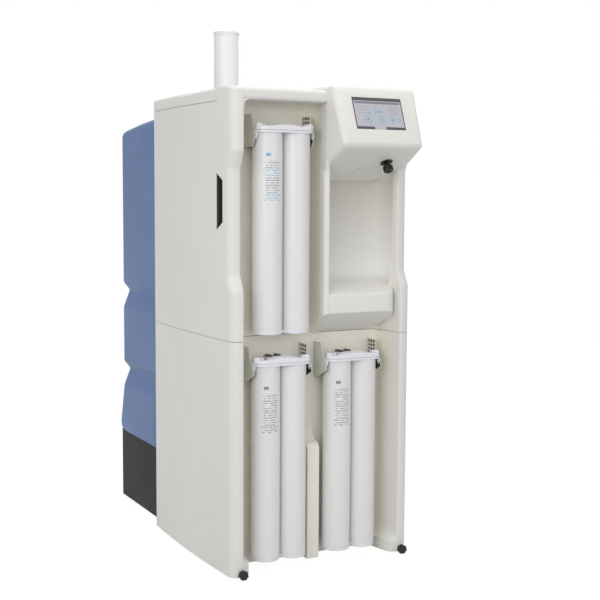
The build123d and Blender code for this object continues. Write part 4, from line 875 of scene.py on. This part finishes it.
def displayGlass():
    # a generic control screen: dark bars above and below, a pale field with three blue rings, short rows of dashes
    tree, g = Surface("displayGlow"), screen
    x, _, z = tree.axes()
    low, high = (corner.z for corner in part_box("display_glass"))
    across = x * 1000 - g["x"]
    up = (z * 1000 - low * 1000) / ((high - low) * 1000) * g["height"]
    blue = linear(84, 170, 200)

    status = up.between(*g["status"]) * (abs(across) < g["statusHalf"])
    field = tree.mix(tree.noise(14, 1), linear(184, 184, 190), linear(170, 170, 178))
    colour = tree.mix(status * 0.75, field, linear(88, 90, 98))

    rings = []
    for middle, radius in g["rings"]:
        aside, above = across - middle, up - g["ringHeight"]
        away = (aside * aside + above * above).root()
        rings.append(away.near(radius, g["ringLine"]))
        colour = tree.mix((away < g["dot"]) * 0.7, colour, linear(70, 90, 110))
    colour = tree.mix(anyOf(*rings) * 0.75, colour, blue)

    arrow = (abs(up - g["ringHeight"]) + abs(across - g["arrow"]) * g["arrowLean"]) < g["arrowSize"]
    stem = across.near(*g["stem"]) * up.between(*g["stemHeights"])
    badge = across.near(*g["badge"][0]) * up.near(*g["badge"][1])
    colour = tree.mix(anyOf(arrow, stem, badge) * 0.7, colour, blue)

    rows = ((up % g["rowPitch"]) > g["rowGap"]) * up.between(*g["textHeights"])
    cells = ((across / g["cell"]).floor() * 7.77 + (up / g["rowPitch"]).floor() * 3.3).sine() > -0.4
    blocks = anyOf(*[across.near(*text) for text in g["texts"]])
    colour = tree.mix(rows * cells * blocks * 0.45, colour, linear(120, 122, 132))

    homeAt, homeHalf = g["homeGap"]
    lower = (up < g["bars"][0]) * (abs(across - homeAt) > homeHalf)
    bars = anyOf(up > g["bars"][1], lower, abs(across) > g["half"] - g["sideBar"])
    colour = tree.mix(bars * 0.92, colour, linear(52, 54, 60))
    return tree.set(
        Base_Color=colour, Roughness=tree.noise(40, 1) * 0.06 + 0.12, Emission_Color=colour, Emission_Strength=0.08,
        Coat_Weight=0.4,
    )


# depth, reach and height at either end
ramp = {"foot": 1268.7, "start": 0.6, "top": 1300, "left": -10, "front": (-140, 50, 10), "back": (130, 16, 16)}


def rampPrism():
    # what is cut off the hood's left end: all above a quarter of an ellipse that starts steep and ends level
    g = ramp
    turn = quarterTurn(12)
    rings = []
    for depth, reach, height in (g["front"], g["back"]):
        curve = paired(reach * (1 - np.cos(turn)) - g["start"], g["foot"] + height * np.sin(turn))
        x, z = np.concatenate([curve, [(reach, g["top"]), (g["left"], g["top"]), (g["left"], g["foot"])]]).T
        rings.append(place(x, depth, z))
    return np.array(rings)


consoleForm = cutAway(formOf(flatCopy("console_shell")), solidFrom([rampPrism()]))
makePiece("console_soft", consoleForm, "console_shell", "consoleWhite", bevel=1.2, sharp=30)


def rimmedWhite(rimWidth=0.0016):
    # the console's white with a shaded rim, where the distance from the cover's middle comes near its radius
    tree = Surface("rimmedWhite")
    low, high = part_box("blank_cover")
    squares = [(axis - at) * (axis - at) for axis, at in zip(tree.axes(), (low + high) / 2)]
    rim = reduce(Value.__add__, squares).root() > (high.x - low.x) / 2 - rimWidth
    drift = tree.noise(5)
    colour = tree.mix(rim * 0.35 + drift * 0.2, linear(228, 227, 223), linear(150, 148, 141))
    return tree.set(Base_Color=colour, Roughness=drift * 0.1 + 0.35)


softened("display_glass", displayGlass(), bevel=0.3)
softened("blank_cover", rimmedWhite(), bevel=0.3)

outlet = {"x": 177, "depth": -12, "height": 1085.102, "down": (0, -0.457836, -0.889037)}
flangeProfile = [(4.2, 0), (17, 0), (17, 1.1), (16.3, 1.9), (15, 2.4), (11, 2.5), (10.4, 2.2), (4.2, 2.2), (4.2, 0)]
nozzleProfile = [
    (3, -8.8), (4, -8.8), (4, 2.6), (6.5, 2.9), (6.5, 6), (6.1, 6.4), (6.1, 7.2), (6.5, 7.6), (6.5, 11.2),
    (11.5, 11.8), (13, 12.8), (13.5, 14.4), (13.5, 17), (13, 17.4), (13, 18.4), (13.5, 18.8), (13.5, 25.4),
    (12.9, 27), (11.4, 27.8), (5.4, 27.8), (4.6, 27.2), (3.4, 26.2), (3, 25.4), (3, -8.8),
]


def outletForm(profile):  # (radius, distance down) points turned about the outlet's leaning axis
    origin = place(outlet["x"], outlet["depth"], outlet["height"])
    return solidFrom([turnedAbout(profile, origin, outlet["down"])], capped=False)


makePiece("outlet_ring", outletForm(flangeProfile), "outlet_flange", "knobBlack")
makePiece("outlet_knob", outletForm(nozzleProfile), "outlet_nozzle", "knobBlack", "outlet_nozzle")
print("console made")

star = {
    "fromSide": 27.2, "height": 18.4, "radius": 11.8, "wave": 1.2, "lobes": 7, "washer": 6, "stud": 4, "studLength": 34,
    # along the axis, and the share of the radius there
    "swell": (
        (0, 0.33), (0, 0.93), (0.5, 0.975), (1.6, 1), (12.2, 1), (13.4, 0.975), (14, 0.92), (14, 0.45), (13.6, 0.40),
        (13.6, 0.02),
    ),
}


def starShell(side):
    # radius = 11.8 + 1.2 cos(7 angle), swelling and closing along the axis, then a plain stud behind
    g = star
    angle = np.linspace(0, 2 * math.pi, 112, endpoint=False)
    along, swell = np.transpose(g["swell"])[..., None]
    lobe = g["radius"] + g["wave"] * np.cos(g["lobes"] * angle)
    middle = side * (cover["halfWidth"] - g["fromSide"])
    x, z = middle + lobe * swell * np.sin(angle), g["height"] + lobe * swell * np.cos(angle)
    end, far = g["stud"], g["studLength"]
    stud = [(0.3, 0), (end, 0), (end, far - 1), (end - 0.8, far), (0.3, far)]
    origin = place(middle, -g["washer"], g["height"])
    return [place(x, -g["washer"] - along, z), turnedAbout(stud, origin, (0, 1, 0), 32)]


for side, sign in (("left", -1), ("right", 1)):
    form, body = solidFrom(starShell(sign)), f"{side}_knob"
    makePiece(f"{side}_star_grip", form, f"{side}_star_knob", "knobBlack", body, sharp=45)
    softened(f"{side}_star_washer", "steel", f"{side}_washer", bevel=0.4)

plain = {  # finish and bevel
    "grip_cups": ("gripDark", 0.5), "upper_back_panel": ("coverWhite", 0.4),
    "lower_back_panel": ("coverWhite", 0.8), "rear_panel": ("sheetGrey", 0.4), "base_tray": ("sheetGrey", 0.4),
    "rubber_feet": ("footRubber", 1.2), "chassis_frame": ("frameGrey", 0), "membrane_vessels": ("vesselWhite", 1.2),
    "booster_pump": ("castAlloy", 1.0), "control_box": ("sheetGrey", 1.0), "uv_reactor": ("steel", 0.8),
    "feed_manifold": ("castAlloy", 1.0), "supply_hoses": ("hoseBlue", 0.4), "port_valves": ("valveGrey", 0.6),
    "tank_lid": ("tankBlue", 1.6), "tank_base": ("plinthBlack", 1.2), "tank_dock": ("dockSteel", 0.6),
    "power_inlet": ("knobBlack", 0.5), "water_fittings": ("valveGrey", 0.6), "level_probe": ("steel", 0.3),
    "display_board": ("portBlack", 0.3),
}
for node, (finish, width) in plain.items():
    softened(node, finish, bevel=width)
softened("rocker_switch", "knobBlack", "rocker_switch", bevel=0.5)
softened("top_cover", "coverWhite", "top_cover", bevel=0.6)
print("plain nodes dressed:", len(plain))

camera = {
    "focal": 1138.66, "image": 600, "sensor": 36.0, "at": (-1456.5, -2606.5, 1001.9),
    "yaw": 27.919, "pitch": 5.358, "roll": 0.311,
}
studio = {"ambient": 0.66, "floorGrey": 0.5, "floorRough": 0.9, "glow": 1.08, "glowShare": 0.9, "floorReach": 30}
lamps = {  # place, aim, size in metres and power in watts
    "sideLamp": ((-3.6, -2.2, 2.5), (0, 0, 1.2), 2.4, 30),
    "nearLamp": ((-2.0, -2.3, 1.45), (-0.1, -0.3, 1.05), 1.2, 11),
    "frontLamp": ((0.2, -4.4, 1.3), (0, 0, 1.1), 3.2, 22),
    "topLamp": ((0.2, -0.4, 4.2), (0, 0, 0.5), 2.4, 48),
    "backLamp": ((2.6, 3.2, 2.6), (0, 0, 0.7), 2.4, 46),
}
white = (1, 1, 1, 1)


def makeCamera():
    yaw, pitch, roll = (math.radians(camera[key]) for key in ("yaw", "pitch", "roll"))
    ahead = Vector((math.sin(yaw) * math.cos(pitch), math.cos(yaw) * math.cos(pitch), -math.sin(pitch)))
    level = Vector((math.cos(yaw), -math.sin(yaw), 0))
    upright = level.cross(ahead)
    right = math.cos(roll) * level + math.sin(roll) * upright
    up = -math.sin(roll) * level + math.cos(roll) * upright
    data = bpy.data.cameras.new("studioCamera")
    data.sensor_width = camera["sensor"]
    data.lens = camera["focal"] * camera["sensor"] / camera["image"]
    data.clip_end = 50
    eye = addObject("studioCamera", data)
    eye.matrix_world = Matrix((right, up, -ahead)).transposed().to_4x4()
    eye.location = place(*camera["at"])
    bpy.context.scene.camera = eye


def makeFloor():
    mesh = bpy.data.meshes.new("studioFloor")
    far = studio["floorReach"]
    mesh.from_pydata([(-far, -far, 0), (far, -far, 0), (far, far, 0), (-far, far, 0)], [], [(0, 1, 2, 3)])
    tree = Tree(bpy.data.materials.new("studioFloorWhite"))
    grey = (*[studio["floorGrey"]] * 3, 1)
    matt = tree.add("ShaderNodeBsdfPrincipled", None, {"Base Color": grey, "Roughness": studio["floorRough"]})
    glow = tree.add("ShaderNodeEmission", None, {"Color": white, "Strength": studio["glow"]})
    seen = tree.rays("Camera", "Glossy", "Transmission") * studio["glowShare"]
    tree.add("ShaderNodeOutputMaterial", None, [tree.add("ShaderNodeMixShader", None, [seen, matt, glow])])
    mesh.materials.append(tree.owner)
    addObject("studioFloor", mesh)


def makeWorld():
    tree = Tree(bpy.data.worlds.new("studioWorld"))
    levels = studio["ambient"], 1.0
    lights = [tree.add("ShaderNodeBackground", None, {"Color": white, "Strength": level}) for level in levels]
    mixed = tree.add("ShaderNodeMixShader", None, [tree.rays("Camera", "Transmission"), *lights])
    tree.add("ShaderNodeOutputWorld", None, [mixed])
    bpy.context.scene.world = tree.owner


for name, (at, aim, size, power) in lamps.items():
    data = bpy.data.lights.new(name, "AREA")
    data.shape, data.size, data.energy = "SQUARE", size, power
    lamp = addObject(name, data)
    lamp.location = at
    lamp.rotation_euler = (Vector(aim) - Vector(at)).to_track_quat("-Z", "Y").to_euler()
makeWorld()
makeFloor()
makeCamera()
bpy.context.scene.view_settings.view_transform = "Standard"
print("stage, lamps and camera made")
